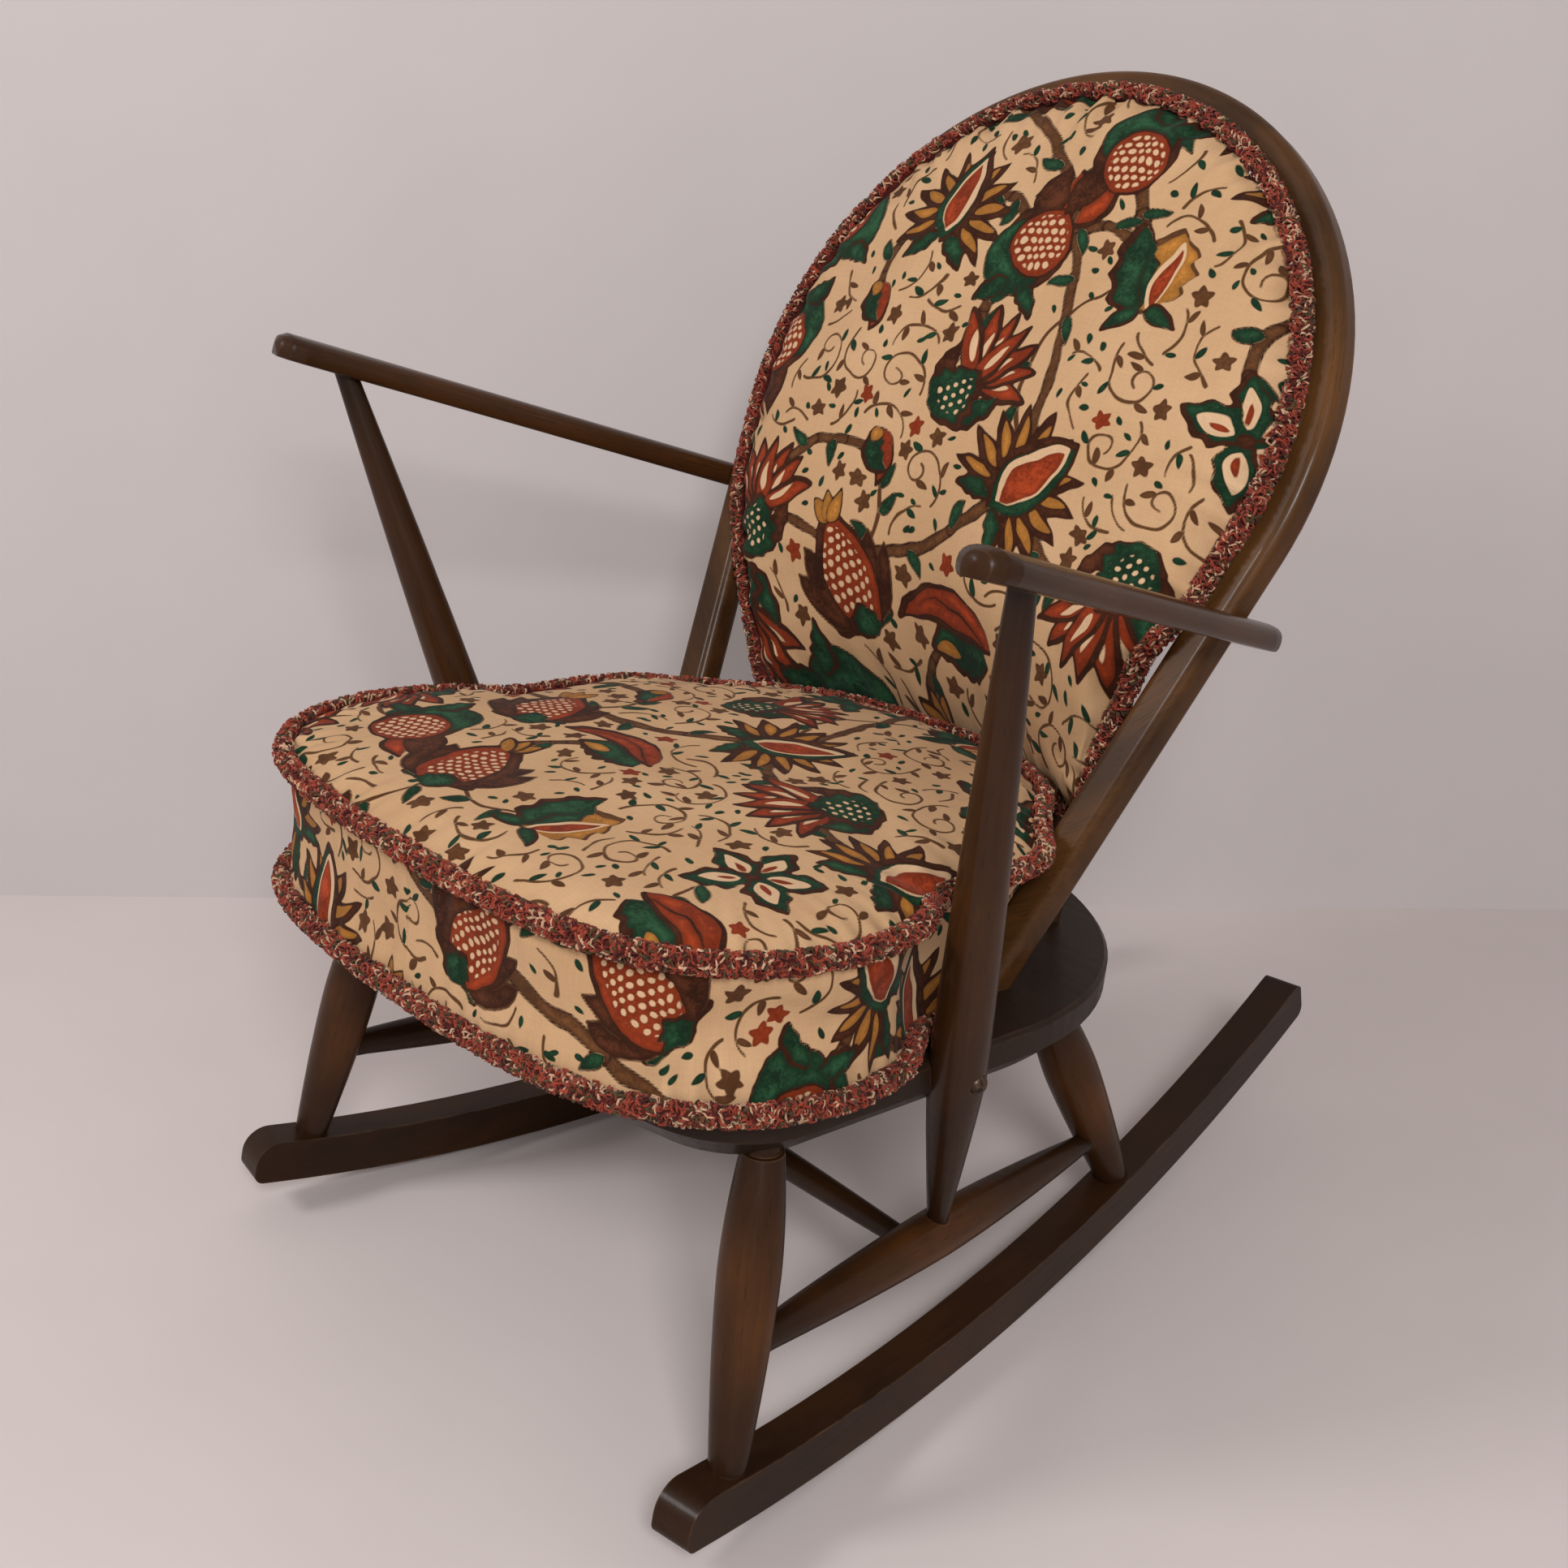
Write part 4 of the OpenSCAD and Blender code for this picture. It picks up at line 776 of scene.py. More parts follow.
def draw_print():
    """Lays out stems, flowers, scrolls, leaves and florets on one repeat."""
    sheet, pick = Print(), np.random.default_rng(11)
    places = []
    for _ in range(MOTIF_TRIES):
        spot = pick.uniform((0, 0), (REPEAT_W, REPEAT_H))
        if all(np.hypot(*torus_gap(p, spot)) > MOTIF_APART for p in places):
            places.append(spot)
    for i, place in enumerate(places[1:], 1):
        gaps = [torus_gap(place, other) for other in places[:i]]
        gap = min(gaps, key=lambda g: np.hypot(*g))
        side = np.array([-gap[1], gap[0]]) * pick.choice([-1, 1]) * pick.uniform(0.16, 0.3)
        t = np.linspace(0, 1, 17)[:, None]
        path = place + gap * t + side * np.sin(math.pi * t)
        thick = 9.0 if i % 3 else 4.2
        widths = np.interp(t[:, 0], [0, 0.5, 1], [thick * 0.55, thick * 0.8, thick])
        sheet.stroke(path, widths, "stem", "maroon" if thick > 5 else None)
        for k in (5, 9, 12):
            way = path[k + 1] - path[k]
            heading = math.atan2(way[1], way[0]) + pick.choice([-1, 1]) * 1.0
            sheet.shape(blade(path[k], heading, 22, 9, pick.uniform(-1, 1)), "green", "maroon", 1.0)
    for i, place in enumerate(places):
        spot = Spot(sheet, *place, pick.uniform(-0.9, 0.9) + (math.pi if i % 4 == 3 else 0),
                    pick.uniform(1.0, 1.15), pick.choice([-1, 1]))
        BIG_MOTIFS[i % len(BIG_MOTIFS)](spot)
    draw_scrolls(sheet, pick)
    return sheet


def draw_scrolls(sheet, pick):
    """Fills the open cloth with thin curling lines, leaves and florets."""
    for _ in range(SCROLL_TRIES):
        x, y = pick.uniform((0, 0), (REPEAT_W, REPEAT_H))
        if not SCROLL_ROOM < sheet.free(x, y) < 26:
            continue
        heading, turn = pick.uniform(0, math.tau), pick.choice([-1, 1])
        path = [(x, y)]
        for k in range(34):
            heading += turn * SCROLL_STEP / max(6.5, 30.0 - 0.85 * k)
            x, y = x + SCROLL_STEP * math.cos(heading), y + SCROLL_STEP * math.sin(heading)
            if sheet.free(x, y) < (SCROLL_ROOM if k else 1.0):
                break
            path.append((x, y))
        if len(path) < 11:
            continue
        path = path[:-1]
        sheet.stroke(path, np.linspace(2.5, 1.9, len(path)), "line")
        for k in range(3, len(path) - 2, 5):
            (ax, ay), (bx, by) = path[k], path[k + 1]
            way = math.atan2(by - ay, bx - ax) + (0.9 if k % 2 else -0.9)
            tip = (ax + 12 * math.cos(way), ay + 12 * math.sin(way))
            if sheet.free(*tip) > 3:
                ink = "green" if pick.random() < 0.45 else "stem"
                sheet.shape(blade((ax, ay), way, 12.5, 5.0), ink, margin=4)
    for _ in range(FLORET_TRIES):
        x, y = pick.uniform((0, 0), (REPEAT_W, REPEAT_H))
        room = sheet.free(x, y)
        if room > 8.5:
            floret(sheet, x, y, pick.uniform(0, 6), "rust" if pick.random() < 0.2 else "stem")
        elif room > 5.5:
            sheet.shape(blade((x, y), pick.uniform(0, 6), 9, 4.2), "green", margin=4)


# Cushion shapes

class Tilted:
    """A frame in millimetres (across, along, out) that is turned about the chair's X."""

    def __init__(self, y, z, angle):
        c, s = math.cos(angle), math.sin(angle)
        self.origin = np.array([0.0, y - CHAIR_MID, z])
        self.axes = np.array([[1, 0, 0], [0, c, s], [0, -s, c]])

    def out(self, points):
        """To the chair's frame in metres."""
        return (np.asarray(points) @ self.axes + self.origin) * MM

    def back(self, points):
        return (points / MM - self.origin) @ self.axes.T


SEAT = Tilted(0.0, SEAT_HEIGHT, -SEAT_TILT)
HOOP = Tilted(HOOP_FOOT_Y, HOOP_FOOT_Z, math.pi / 2 - HOOP_LEAN)


def close_outline(half):
    half = np.asarray(half, float)
    return np.vstack([half, half[-2:0:-1] * [-1, 1]])


def curve(points, t):
    """Smooth closed curve through points, at places t counted in points."""
    n = len(points)
    i = np.floor(t).astype(int)
    f = (t - i)[:, None]
    a, b, c, d = (points[(i + k) % n] for k in (-1, 0, 1, 2))
    return (2 * b + (c - a) * f + (2 * a - 5 * b + 4 * c - d) * f ** 2
            + (3 * b - a - 3 * c + d) * f ** 3) / 2


def outline(points, steps, out=0.0, start=0.0):
    """Even steps along a closed outline, moved out by out."""
    n = len(points)
    fine = curve(points, np.linspace(0, n, RIM_STEPS, endpoint=False))
    lengths = np.linalg.norm(np.roll(fine, -1, 0) - fine, axis=1)
    way = np.concatenate([[0], np.cumsum(lengths)])
    at = (np.arange(steps) + start) * way[-1] / steps % way[-1]
    closed = np.vstack([fine, fine[:1]])
    line = np.c_[np.interp(at, way, closed[:, 0]), np.interp(at, way, closed[:, 1])]
    ahead = np.roll(line, -2, 0) - np.roll(line, 2, 0)
    ahead /= np.linalg.norm(ahead, axis=1)[:, None]
    return line + out * np.c_[ahead[:, 1], -ahead[:, 0]]


def pad_loop(height):
    """Outline of the seat cushion at a height above its lower edge."""
    t = (height - PAD_SEAM_H) / PAD_WALL
    shares = (1 - t) * np.array(PAD_BOTTOM_SHARES) + t * np.array(PAD_TOP_SHARES)
    return close_outline(shares * [PAD_HALF_W, PAD_LENGTH] - [0, PAD_FRONT])


def on_board(flat, z):
    """A flat outline at height z above the seat board."""
    return np.c_[flat, np.broadcast_to(SEAT_THICKNESS + z, len(flat))]


def pad_ring(height, out, z):
    """One ring of the seat cushion, moved out by out and put at height z above the board."""
    return on_board(outline(pad_loop(height), ROUND, out, SEAM_START), z)


def back_loop():
    """Outline of the back cushion, seen square to the hoop."""
    lower = np.array(BACK_SHARES) * [BACK_RADIUS, BACK_HEIGHT] + [0, BACK_BOTTOM]
    turns = np.radians(np.linspace(-15, 90, 13))
    arch = BACK_RADIUS * np.c_[np.cos(turns), np.sin(turns)] + BACK_CENTRE
    return close_outline(np.vstack([lower, arch]))


def on_back(flat, lift=0.0):
    """A flat outline on the back cushion's bent middle, lift in front of it."""
    x, s = flat.T
    tuck_top = BACK_BOTTOM + BACK_HEIGHT * 0.45
    u = np.maximum(0, (tuck_top - s) / (tuck_top - BACK_BOTTOM))
    v = np.maximum(0, (HOOP_RISE - s) / BACK_HEIGHT)
    w = x / (BACK_RADIUS * 0.72)
    off = BACK_REST - BACK_TUCK * u ** 1.3 - BACK_SAG * v ** 1.5 * np.maximum(0, 1 - w * w)
    return np.c_[flat, off + lift]


def crown(share):
    """Height of a filled cushion, as a share, from the middle (0) to the rim (1)."""
    return np.maximum(0, 1 - np.clip(share, 0, 1) ** 3) ** 0.6


def grid_border(values, rim):
    """Lays a rim of 4 * GRID values round the border of a square array."""
    n, k = GRID, np.arange(GRID)
    values[0, :n], values[:n, n] = rim[k], rim[n + k]
    values[n, n - k], values[n - k, 0] = rim[2 * n + k], rim[3 * n + k]


def filled_grid(rim):
    """A smooth square grid of points whose border is the rim, so that no pole is needed."""
    n = GRID
    points = np.zeros((n + 1, n + 1, 2))
    grid_border(points, rim)
    u = np.linspace(0, 1, n + 1)
    left, right, low, high = points[:, 0], points[:, n], points[0], points[n]
    a, b = u[:, None, None], u[None, :, None]
    corner = ((1 - a) * (1 - b) * points[0, 0] + (1 - a) * b * points[0, n]
              + a * (1 - b) * points[n, 0] + a * b * points[n, n])
    inner = ((1 - b) * left[:, None] + b * right[:, None] + (1 - a) * low[None]
             + a * high[None] - corner)
    points[1:n, 1:n] = inner[1:n, 1:n]
    for _ in range(SMOOTH_ROUNDS):
        points[1:n, 1:n] = (points[:n - 1, 1:n] + points[2:, 1:n]
                            + points[1:n, :n - 1] + points[1:n, 2:]) / 4
    return points


def rim_share(points, rim, centre):
    """How far each point lies from the centre towards the rim, 1 on the rim."""
    angle = np.arctan2(*(rim - centre).T[::-1])
    order = np.argsort(angle)
    radius = np.linalg.norm(rim - centre, axis=1)[order]
    mine = np.arctan2(*(points - centre).T[::-1])
    edge = np.interp(mine, angle[order], radius, period=math.tau)
    return np.linalg.norm(points - centre, axis=1) / edge


class Shell:
    """Collects rings and a grid of points into one closed mesh of quads."""

    def __init__(self):
        self.points, self.rows, self.faces = [], [], []

    def add(self, points, row):
        first = sum(len(p) for p in self.points)
        self.points.append(np.asarray(points, float))
        self.rows.append(np.full(len(points), float(row)))
        return first + np.arange(len(points))

    def join(self, rings):
        for low, high in zip(rings, rings[1:]):
            ahead = np.roll(low, -1), np.roll(high, -1)
            self.faces.extend(zip(low, ahead[0], ahead[1], high))

    def cap(self, rim, flat, height_of, row, up=True):
        """Closes a rim of vertices with the grid; height_of lifts its inner points."""
        n = GRID
        inner = filled_grid(flat)[1:n, 1:n].reshape(-1, 2)
        table = np.zeros((n + 1, n + 1), int)
        table[1:n, 1:n] = self.add(height_of(inner), row).reshape(n - 1, n - 1)
        grid_border(table, rim)
        for r in range(n):
            for c in range(n):
                face = (table[r, c], table[r, c + 1], table[r + 1, c + 1], table[r + 1, c])
                self.faces.append(face if up else face[::-1])

    def build(self, name, form):
        mesh = bpy.data.meshes.new(name)
        points = form.out(np.vstack(self.points))
        mesh.from_pydata(points.tolist(), [], [tuple(int(v) for v in f) for f in self.faces])
        point_attribute(mesh, "cloth_row", np.concatenate(self.rows))
        mesh.update()
        return place_piece(name, mesh)


def inflate(piece, held, cap):
    """Fills the cloth by pressure: a short simulation whose result stays within cap metres."""
    if cap <= 0:
        return
    select_only(piece)
    group = piece.vertex_groups.new(name="held")
    group.add([int(i) for i in np.nonzero(held)[0]], 1.0, "ADD")
    before = vertex_values(piece.data, "co")
    cloth = piece.modifiers.new("filling", "CLOTH")
    for name, value in FILLING.items():
        setattr(cloth.settings, name, value)
    cloth.settings.effector_weights.gravity = 0.0
    cloth.collision_settings.use_collision = False
    cloth.point_cache.frame_start, cloth.point_cache.frame_end = 1, FILLING_FRAMES
    for step in range(1, FILLING_FRAMES + 1):
        bpy.context.scene.frame_set(step)
    bpy.ops.object.modifier_apply(modifier="filling")
    moved = vertex_values(piece.data, "co") - before
    bpy.context.scene.frame_set(1)
    far = np.linalg.norm(moved, axis=1)[:, None]
    moved *= np.minimum(1.0, cap / np.maximum(far, 1e-9))
    piece.data.vertices.foreach_set("co", (before + moved).ravel())
    piece.vertex_groups.clear()
    piece.data.update()


def subdivide(piece):
    select_only(piece)
    finer = piece.modifiers.new("finer", "SUBSURF")
    finer.levels = finer.render_levels = SUBDIVIDE
    bpy.ops.object.modifier_apply(modifier="finer")
    bpy.ops.object.shade_smooth()


def seam_waves(seed, low, high):
    """Uneven gathers along a seam: share of the way round in, -1 to 1 out."""
    pick = np.random.default_rng(seed)
    counts = np.arange(low, high)
    phases = pick.uniform(0, math.tau, len(counts))
    sizes = pick.uniform(0.3, 1.0, len(counts))
    sizes /= np.sqrt((sizes ** 2).sum() / 2) * 1.6

    def wave(share):
        return sum(s * np.sin(math.tau * c * share + p)
                   for s, c, p in zip(sizes, counts, phases))
    return wave


def soft_lumps(seed, size, count=9):
    """Broad uneven filling: a sum of waves of about size millimetres."""
    pick = np.random.default_rng(seed)
    turns, phases = pick.uniform(0, math.pi, count), pick.uniform(0, math.tau, count)
    sizes = size * pick.uniform(0.6, 1.6, count)

    def lump(x, y):
        return sum(np.sin((x * math.cos(a) + y * math.sin(a)) * math.tau / w + p)
                   for a, p, w in zip(turns, phases, sizes)) / math.sqrt(count)
    return lump


def nearest_share(points, rim):
    """Share of the way round a rim at which each point is nearest to it, and how near."""
    stride = 8
    share, near = np.zeros(len(points)), np.full(len(points), FAR)
    for k, corner in enumerate(rim[::stride]):
        gap = ((points - corner) ** 2).sum(1)
        share = np.where(gap < near, k, share)
        near = np.minimum(near, gap)
    rough, near = share.astype(int) * stride, np.full(len(points), FAR)
    for step in range(-stride, stride):
        start = rim[(rough + step) % len(rim)]
        edge = rim[(rough + step + 1) % len(rim)] - start
        t = np.clip(((points - start) * edge).sum(1) / (edge ** 2).sum(1), 0, 1)
        gap = np.linalg.norm(points - start - edge * t[:, None], axis=1)
        share = np.where(gap < near, ((rough + step + t) / len(rim)) % 1, share)
        near = np.minimum(near, gap)
    return share, near


def stamp_print(piece, sheet, u, v):
    """Writes the inks' distances at cloth places u, v, and the cloth map in metres."""
    mesh = piece.data
    wobble, drift = soft_lumps(31, 16), soft_lumps(32, 47)
    shaky_u = u + 0.5 * wobble(u, v) + 1.2 * drift(u, v)
    shaky_v = v + 0.5 * wobble(v, -u) + 1.2 * drift(v, -u)
    for name in INKS:
        values = np.clip(sheet.read(name, shaky_u, shaky_v), -8, 8)
        point_attribute(mesh, "ink_" + name, values)
    corners = np.zeros(len(mesh.loops), int)
    mesh.loops.foreach_get("vertex_index", corners)
    layer = mesh.uv_layers.new(name="cloth")
    layer.data.foreach_set("uv", (np.c_[u, v][corners] * MM).ravel().astype(np.float32))


def finish_cover(piece, depth, u, v):
    """Moves the cloth out by depth metres and prints it at cloth places u, v."""
    skin = vertex_values(piece.data, "co")
    skin += vertex_values(piece.data, "normal") * depth[:, None]
    piece.data.vertices.foreach_set("co", skin.ravel())
    piece.data.update()
    stamp_print(piece, printed(), u, v)
    give(piece, cotton_material())


def cotton_material():
    """Printed cotton: inks over a cream ground, uneven ink, plain weave."""
    if "woven_cotton" in bpy.data.materials:
        return bpy.data.materials["woven_cotton"]
    look = bpy.context.scene.chair_cloth
    make_weave_group()
    material, shade, shader = new_material("woven_cotton")
    cloth = shade.node("UVMap", uv_map="cloth").outputs[0]
    weave = shade.group("plain_weave", {"Vector": cloth, "Threads": 1500.0})
    aged = [c * f for c, f in zip(look.ground, (0.88, 0.84, 0.78))]
    base = shade.mix(shade.remap(shade.noise(cloth, 9.0), 0.3, 0.7), look.ground, aged)
    brush = shade.noise(cloth, 210.0, detail=4.0, roughness=0.65, distortion=1.2)
    bands = shade.noise(cloth, 44.0, detail=2.0)
    vary = shade.remap(shade.weighed(brush, 0.5, bands, 0.5), 0.42, 0.60)
    for ink in INKS:
        distance = shade.node("Attribute", attribute_name="ink_" + ink).outputs["Fac"]
        deep = Vector(getattr(look, ink))
        inner = shade.remap(distance, -0.5, -4.5)
        share = shade.times(vary, shade.remap(inner, 0, 1, 0.12, 1.0))
        base = shade.mix(shade.remap(distance, INK_EDGE, -INK_EDGE), base,
                         shade.mix(share, deep, deep * PALE[ink]))
    slubs = weave["Slubs"]
    shade.feed(shader, {
        "Base Color": shade.shaded(base, shade.remap(slubs, 0.35, 0.65, 0.93, 1.04)),
        "Roughness": shade.remap(slubs, 0.3, 0.7, 0.78, 0.95),
        "Normal": shade.bump(shade.weighed(weave["Height"], 0.6, slubs, 1.0),
                             0.00022, 0.55).outputs[0],
        "Specular IOR Level": 0.1, "Sheen Weight": 0.03})
    return material


PRINT = {}


def printed():
    if "sheet" not in PRINT:
        PRINT["sheet"] = draw_print()
    return PRINT["sheet"]


class CHAIR_OT_seat_cushion(bpy.types.Operator):
    """Make the boxed seat cushion: crowned top, drawn-in sides, gathers along the seams"""
    bl_idname = "chair.seat_cushion"
    bl_label = "Make the seat cushion"

    def execute(self, context):
        shell = Shell()
        bottom = outline(pad_loop(PAD_SEAM_H), ROUND, 0, SEAM_START)
        rings = []
        for share in (0.25, 0.6):
            flat = PAD_CENTRE + (bottom - PAD_CENTRE) * share
            rings.append(shell.add(on_board(flat, PAD_LIFT), -2))
        rings.append(shell.add(pad_ring(PAD_SEAM_H, -17, PAD_LIFT), -2))
        rings.append(shell.add(pad_ring(PAD_SEAM_H, -8, 4.0), -1))
        for k in range(WALL_ROWS + 1):
            t = k / WALL_ROWS
            height = PAD_SEAM_H + PAD_WALL * t
            out = -1.5 - (PAD_DRAW_IN + 1.5) * math.sin(math.pi * t)
            on_seam = k in (0, WALL_ROWS)
            rings.append(shell.add(pad_ring(height, 0 if on_seam else out, height), k))
        rings.append(shell.add(pad_ring(PAD_TOP, -TOP_INSET, PAD_TOP + 1.5), WALL_ROWS + 1))
        shell.join(rings)
        shell.faces.append(tuple(rings[0][::-1]))
        seam = outline(pad_loop(PAD_TOP), ROUND, 0, SEAM_START)

        def lifted(flat):
            rise = (PAD_CROWN - CROWN_CUT) * crown(rim_share(flat, seam, PAD_CENTRE))
            return on_board(flat, PAD_TOP + rise)

        inner = outline(pad_loop(PAD_TOP), ROUND, -TOP_INSET, SEAM_START)
        shell.cap(rings[-1], inner, lifted, WALL_ROWS + 2)
        piece = shell.build("seat_cushion_cotton", SEAT)
        rows = np.concatenate(shell.rows)
        held = (rows <= 0) | (rows == WALL_ROWS) | (rows == WALL_ROWS + 1)
        inflate(piece, held, context.scene.chair_cloth.swell)
        subdivide(piece)
        self.finish(piece, context.scene.chair_cloth.pucker)
        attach(piece, "seat_cushion")
        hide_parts("seat_cushion")
        return {"FINISHED"}

    def finish(self, piece, pucker):
        """Gathers along the seams, uneven filling, and the print on the top and round the side."""
        rows = np.zeros(len(piece.data.vertices))
        piece.data.attributes["cloth_row"].data.foreach_get("value", rows)
        wall, top = (rows > -0.5) & (rows < WALL_ROWS + 0.5), rows > WALL_ROWS
        local = SEAT.back(vertex_values(piece.data, "co"))
        x, y, height = local[:, 0], local[:, 1], local[:, 2] - SEAT_THICKNESS
        share, near = nearest_share(local[:, :2], outline(pad_loop(PAD_TOP), RIM_STEPS))
        from_seam = np.where(wall, np.minimum(PAD_TOP - height, height - PAD_SEAM_H), near)
        fade = np.exp(-np.maximum(0, from_seam - 4) / 20) * (rows > -0.5)
        depth = (pucker * seam_waves(3, 38, 110)(share) * fade
                 + PAD_LUMP * soft_lumps(5, 130)(x, y) * top * np.clip(near / 60, 0, 1)
                 + PAD_LUMP * soft_lumps(8, 90)(share * PAD_GIRTH, height) * wall
                 * np.clip(from_seam / 20, 0, 1))
        by_post = np.hypot(np.abs(x) - POST_X, y - POST_Y) < POST_ROOM
        depth = np.where(by_post & wall, np.minimum(depth, 0), depth)
        finish_cover(piece, depth, np.where(wall, share * 3 * REPEAT_W, x + 310),
                     np.where(wall, height + 250, y + 40))


class CHAIR_OT_back_cushion(bpy.types.Operator):
    """Make the back cushion: it leans on the hoop and sinks between its legs below"""
    bl_idname = "chair.back_cushion"
    bl_label = "Make the back cushion"

    def execute(self, context):
        look = context.scene.chair_cloth
        shell = Shell()
        seam = outline(back_loop(), ROUND, 0, SEAM_START)

        def lifted(flat, swell):
            share = rim_share(flat, seam, BACK_CENTRE + [0, -60])
            return on_back(flat, swell * crown(share))

        edges = []
        for out, lift, row in ((-BACK_INSET, -2.4, -1), (0.0, 0.0, 0), (-BACK_INSET, 2.4, 1)):
            flat = outline(back_loop(), ROUND, out, SEAM_START)
            edges.append(shell.add(on_back(flat, lift), row))
        shell.join(edges)
        inner = outline(back_loop(), ROUND, -BACK_INSET, SEAM_START)
        shell.cap(edges[0], inner, lambda flat: lifted(flat, 3.0 - BACK_REAR_CROWN), -2, False)
        shell.cap(edges[2], inner, lambda flat: lifted(flat, BACK_CROWN - CROWN_CUT), 2)
        piece = shell.build("back_cushion_cotton", HOOP)
        inflate(piece, np.abs(np.concatenate(shell.rows)) < 1.5, look.swell)
        subdivide(piece)
        local = HOOP.back(vertex_values(piece.data, "co"))
        x, y = local[:, 0], local[:, 1]
        share, near = nearest_share(local[:, :2], outline(back_loop(), RIM_STEPS))
        fade = np.exp(-np.maximum(0, near - 4) / 24)
        depth = (1.3 * look.pucker * seam_waves(21, 26, 90)(share) * fade
                 + BACK_LUMP * soft_lumps(9, 110)(x, y) * np.clip(near / 50, 0, 1))
        finish_cover(piece, depth, x + 250, y + 330)
        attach(piece, "back_cushion")
        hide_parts("back_cushion")
        return {"FINISHED"}


# Fringe

def yarn_material():
    """Dull, fuzzy yarn in four colours."""
    if "looped_yarn" in bpy.data.materials:
        return bpy.data.materials["looped_yarn"]
    look = bpy.context.scene.chair_fringe
    material, shade, shader = new_material("looped_yarn")
    tint = shade.node("Attribute", attribute_name="yarn_tint").outputs["Fac"]
    colours = shade.ramp(tint, ((0.0, *look.red), (0.46, *look.wine), (0.69, *look.cream),
                                (0.86, *look.olive)), "CONSTANT")
    place = shade.place()
    fuzz = shade.noise(place, 1400.0, detail=2.0, roughness=0.6)
    patches = shade.remap(shade.noise(place, 120.0, detail=2.0), 0.3, 0.7, 0.8, 1.15)
    shade.feed(shader, {
        "Base Color": shade.shaded(
            colours, shade.times(shade.remap(fuzz, 0.3, 0.7, 0.7, 1.2), patches)),
        "Roughness": shade.remap(fuzz, 0.3, 0.7, 0.8, 0.98),
        "Normal": shade.bump(fuzz, 0.0004, 0.7).outputs[0],
        "Specular IOR Level": 0.1, "Sheen Weight": 0.08})
    return material


def loop_template():
    """One yarn loop, modelled once: a thin three-sided tube, still straight."""
    select_only()
    bpy.ops.mesh.primitive_cylinder_add(vertices=3, radius=1.0, depth=1.0, end_fill_type="NOTHING")
    piece = bpy.context.object
    bpy.ops.object.mode_set(mode="EDIT")
    bpy.ops.mesh.select_all(action="DESELECT")
    bpy.ops.object.mode_set(mode="OBJECT")
    for edge in piece.data.edges:
        a, b = (piece.data.vertices[i].co for i in edge.vertices)
        edge.select = abs(a.z - b.z) > 0.5
    bpy.ops.object.mode_set(mode="EDIT")
    bpy.ops.mesh.select_mode(type="EDGE")
    bpy.ops.mesh.subdivide(number_cuts=2)
    bpy.ops.object.mode_set(mode="OBJECT")
    points = vertex_values(piece.data, "co")
    faces = np.array([list(p.vertices) for p in piece.data.polygons if len(p.vertices) == 4])
    bpy.data.objects.remove(piece)
    return points, faces


def frames_along(line, up):
    """Way, outward and upward directions at each point of a closed line."""
    way = np.roll(line, -1, 0) - np.roll(line, 1, 0)
    way /= np.linalg.norm(way, axis=1)[:, None]
    out = np.cross(way, up)
    out /= np.linalg.norm(out, axis=1)[:, None]
    return way, out, np.cross(out, way)


def fringe_core(line, out, over, pick):
    """Points and faces of the lumpy tube that the loops stand on."""
    n, turns = len(line), np.linspace(0, math.tau, CORE_SIDES, endpoint=False)
    bumps = CORE_R * (1 + 0.1 * pick.standard_normal((n, CORE_SIDES)))[..., None]
    points = (line[:, None] + bumps * (np.cos(turns)[None, :, None] * out[:, None]
                                       + np.sin(turns)[None, :, None] * over[:, None]))
    i, k = np.meshgrid(np.arange(n), np.arange(CORE_SIDES), indexing="ij")
    here, ahead, beside = i * CORE_SIDES, (i + 1) % n * CORE_SIDES, (k + 1) % CORE_SIDES
    faces = np.stack([ahead + k, ahead + beside, here + beside, here + k], -1)
    return points.reshape(-1, 3), faces.reshape(-1, 4)


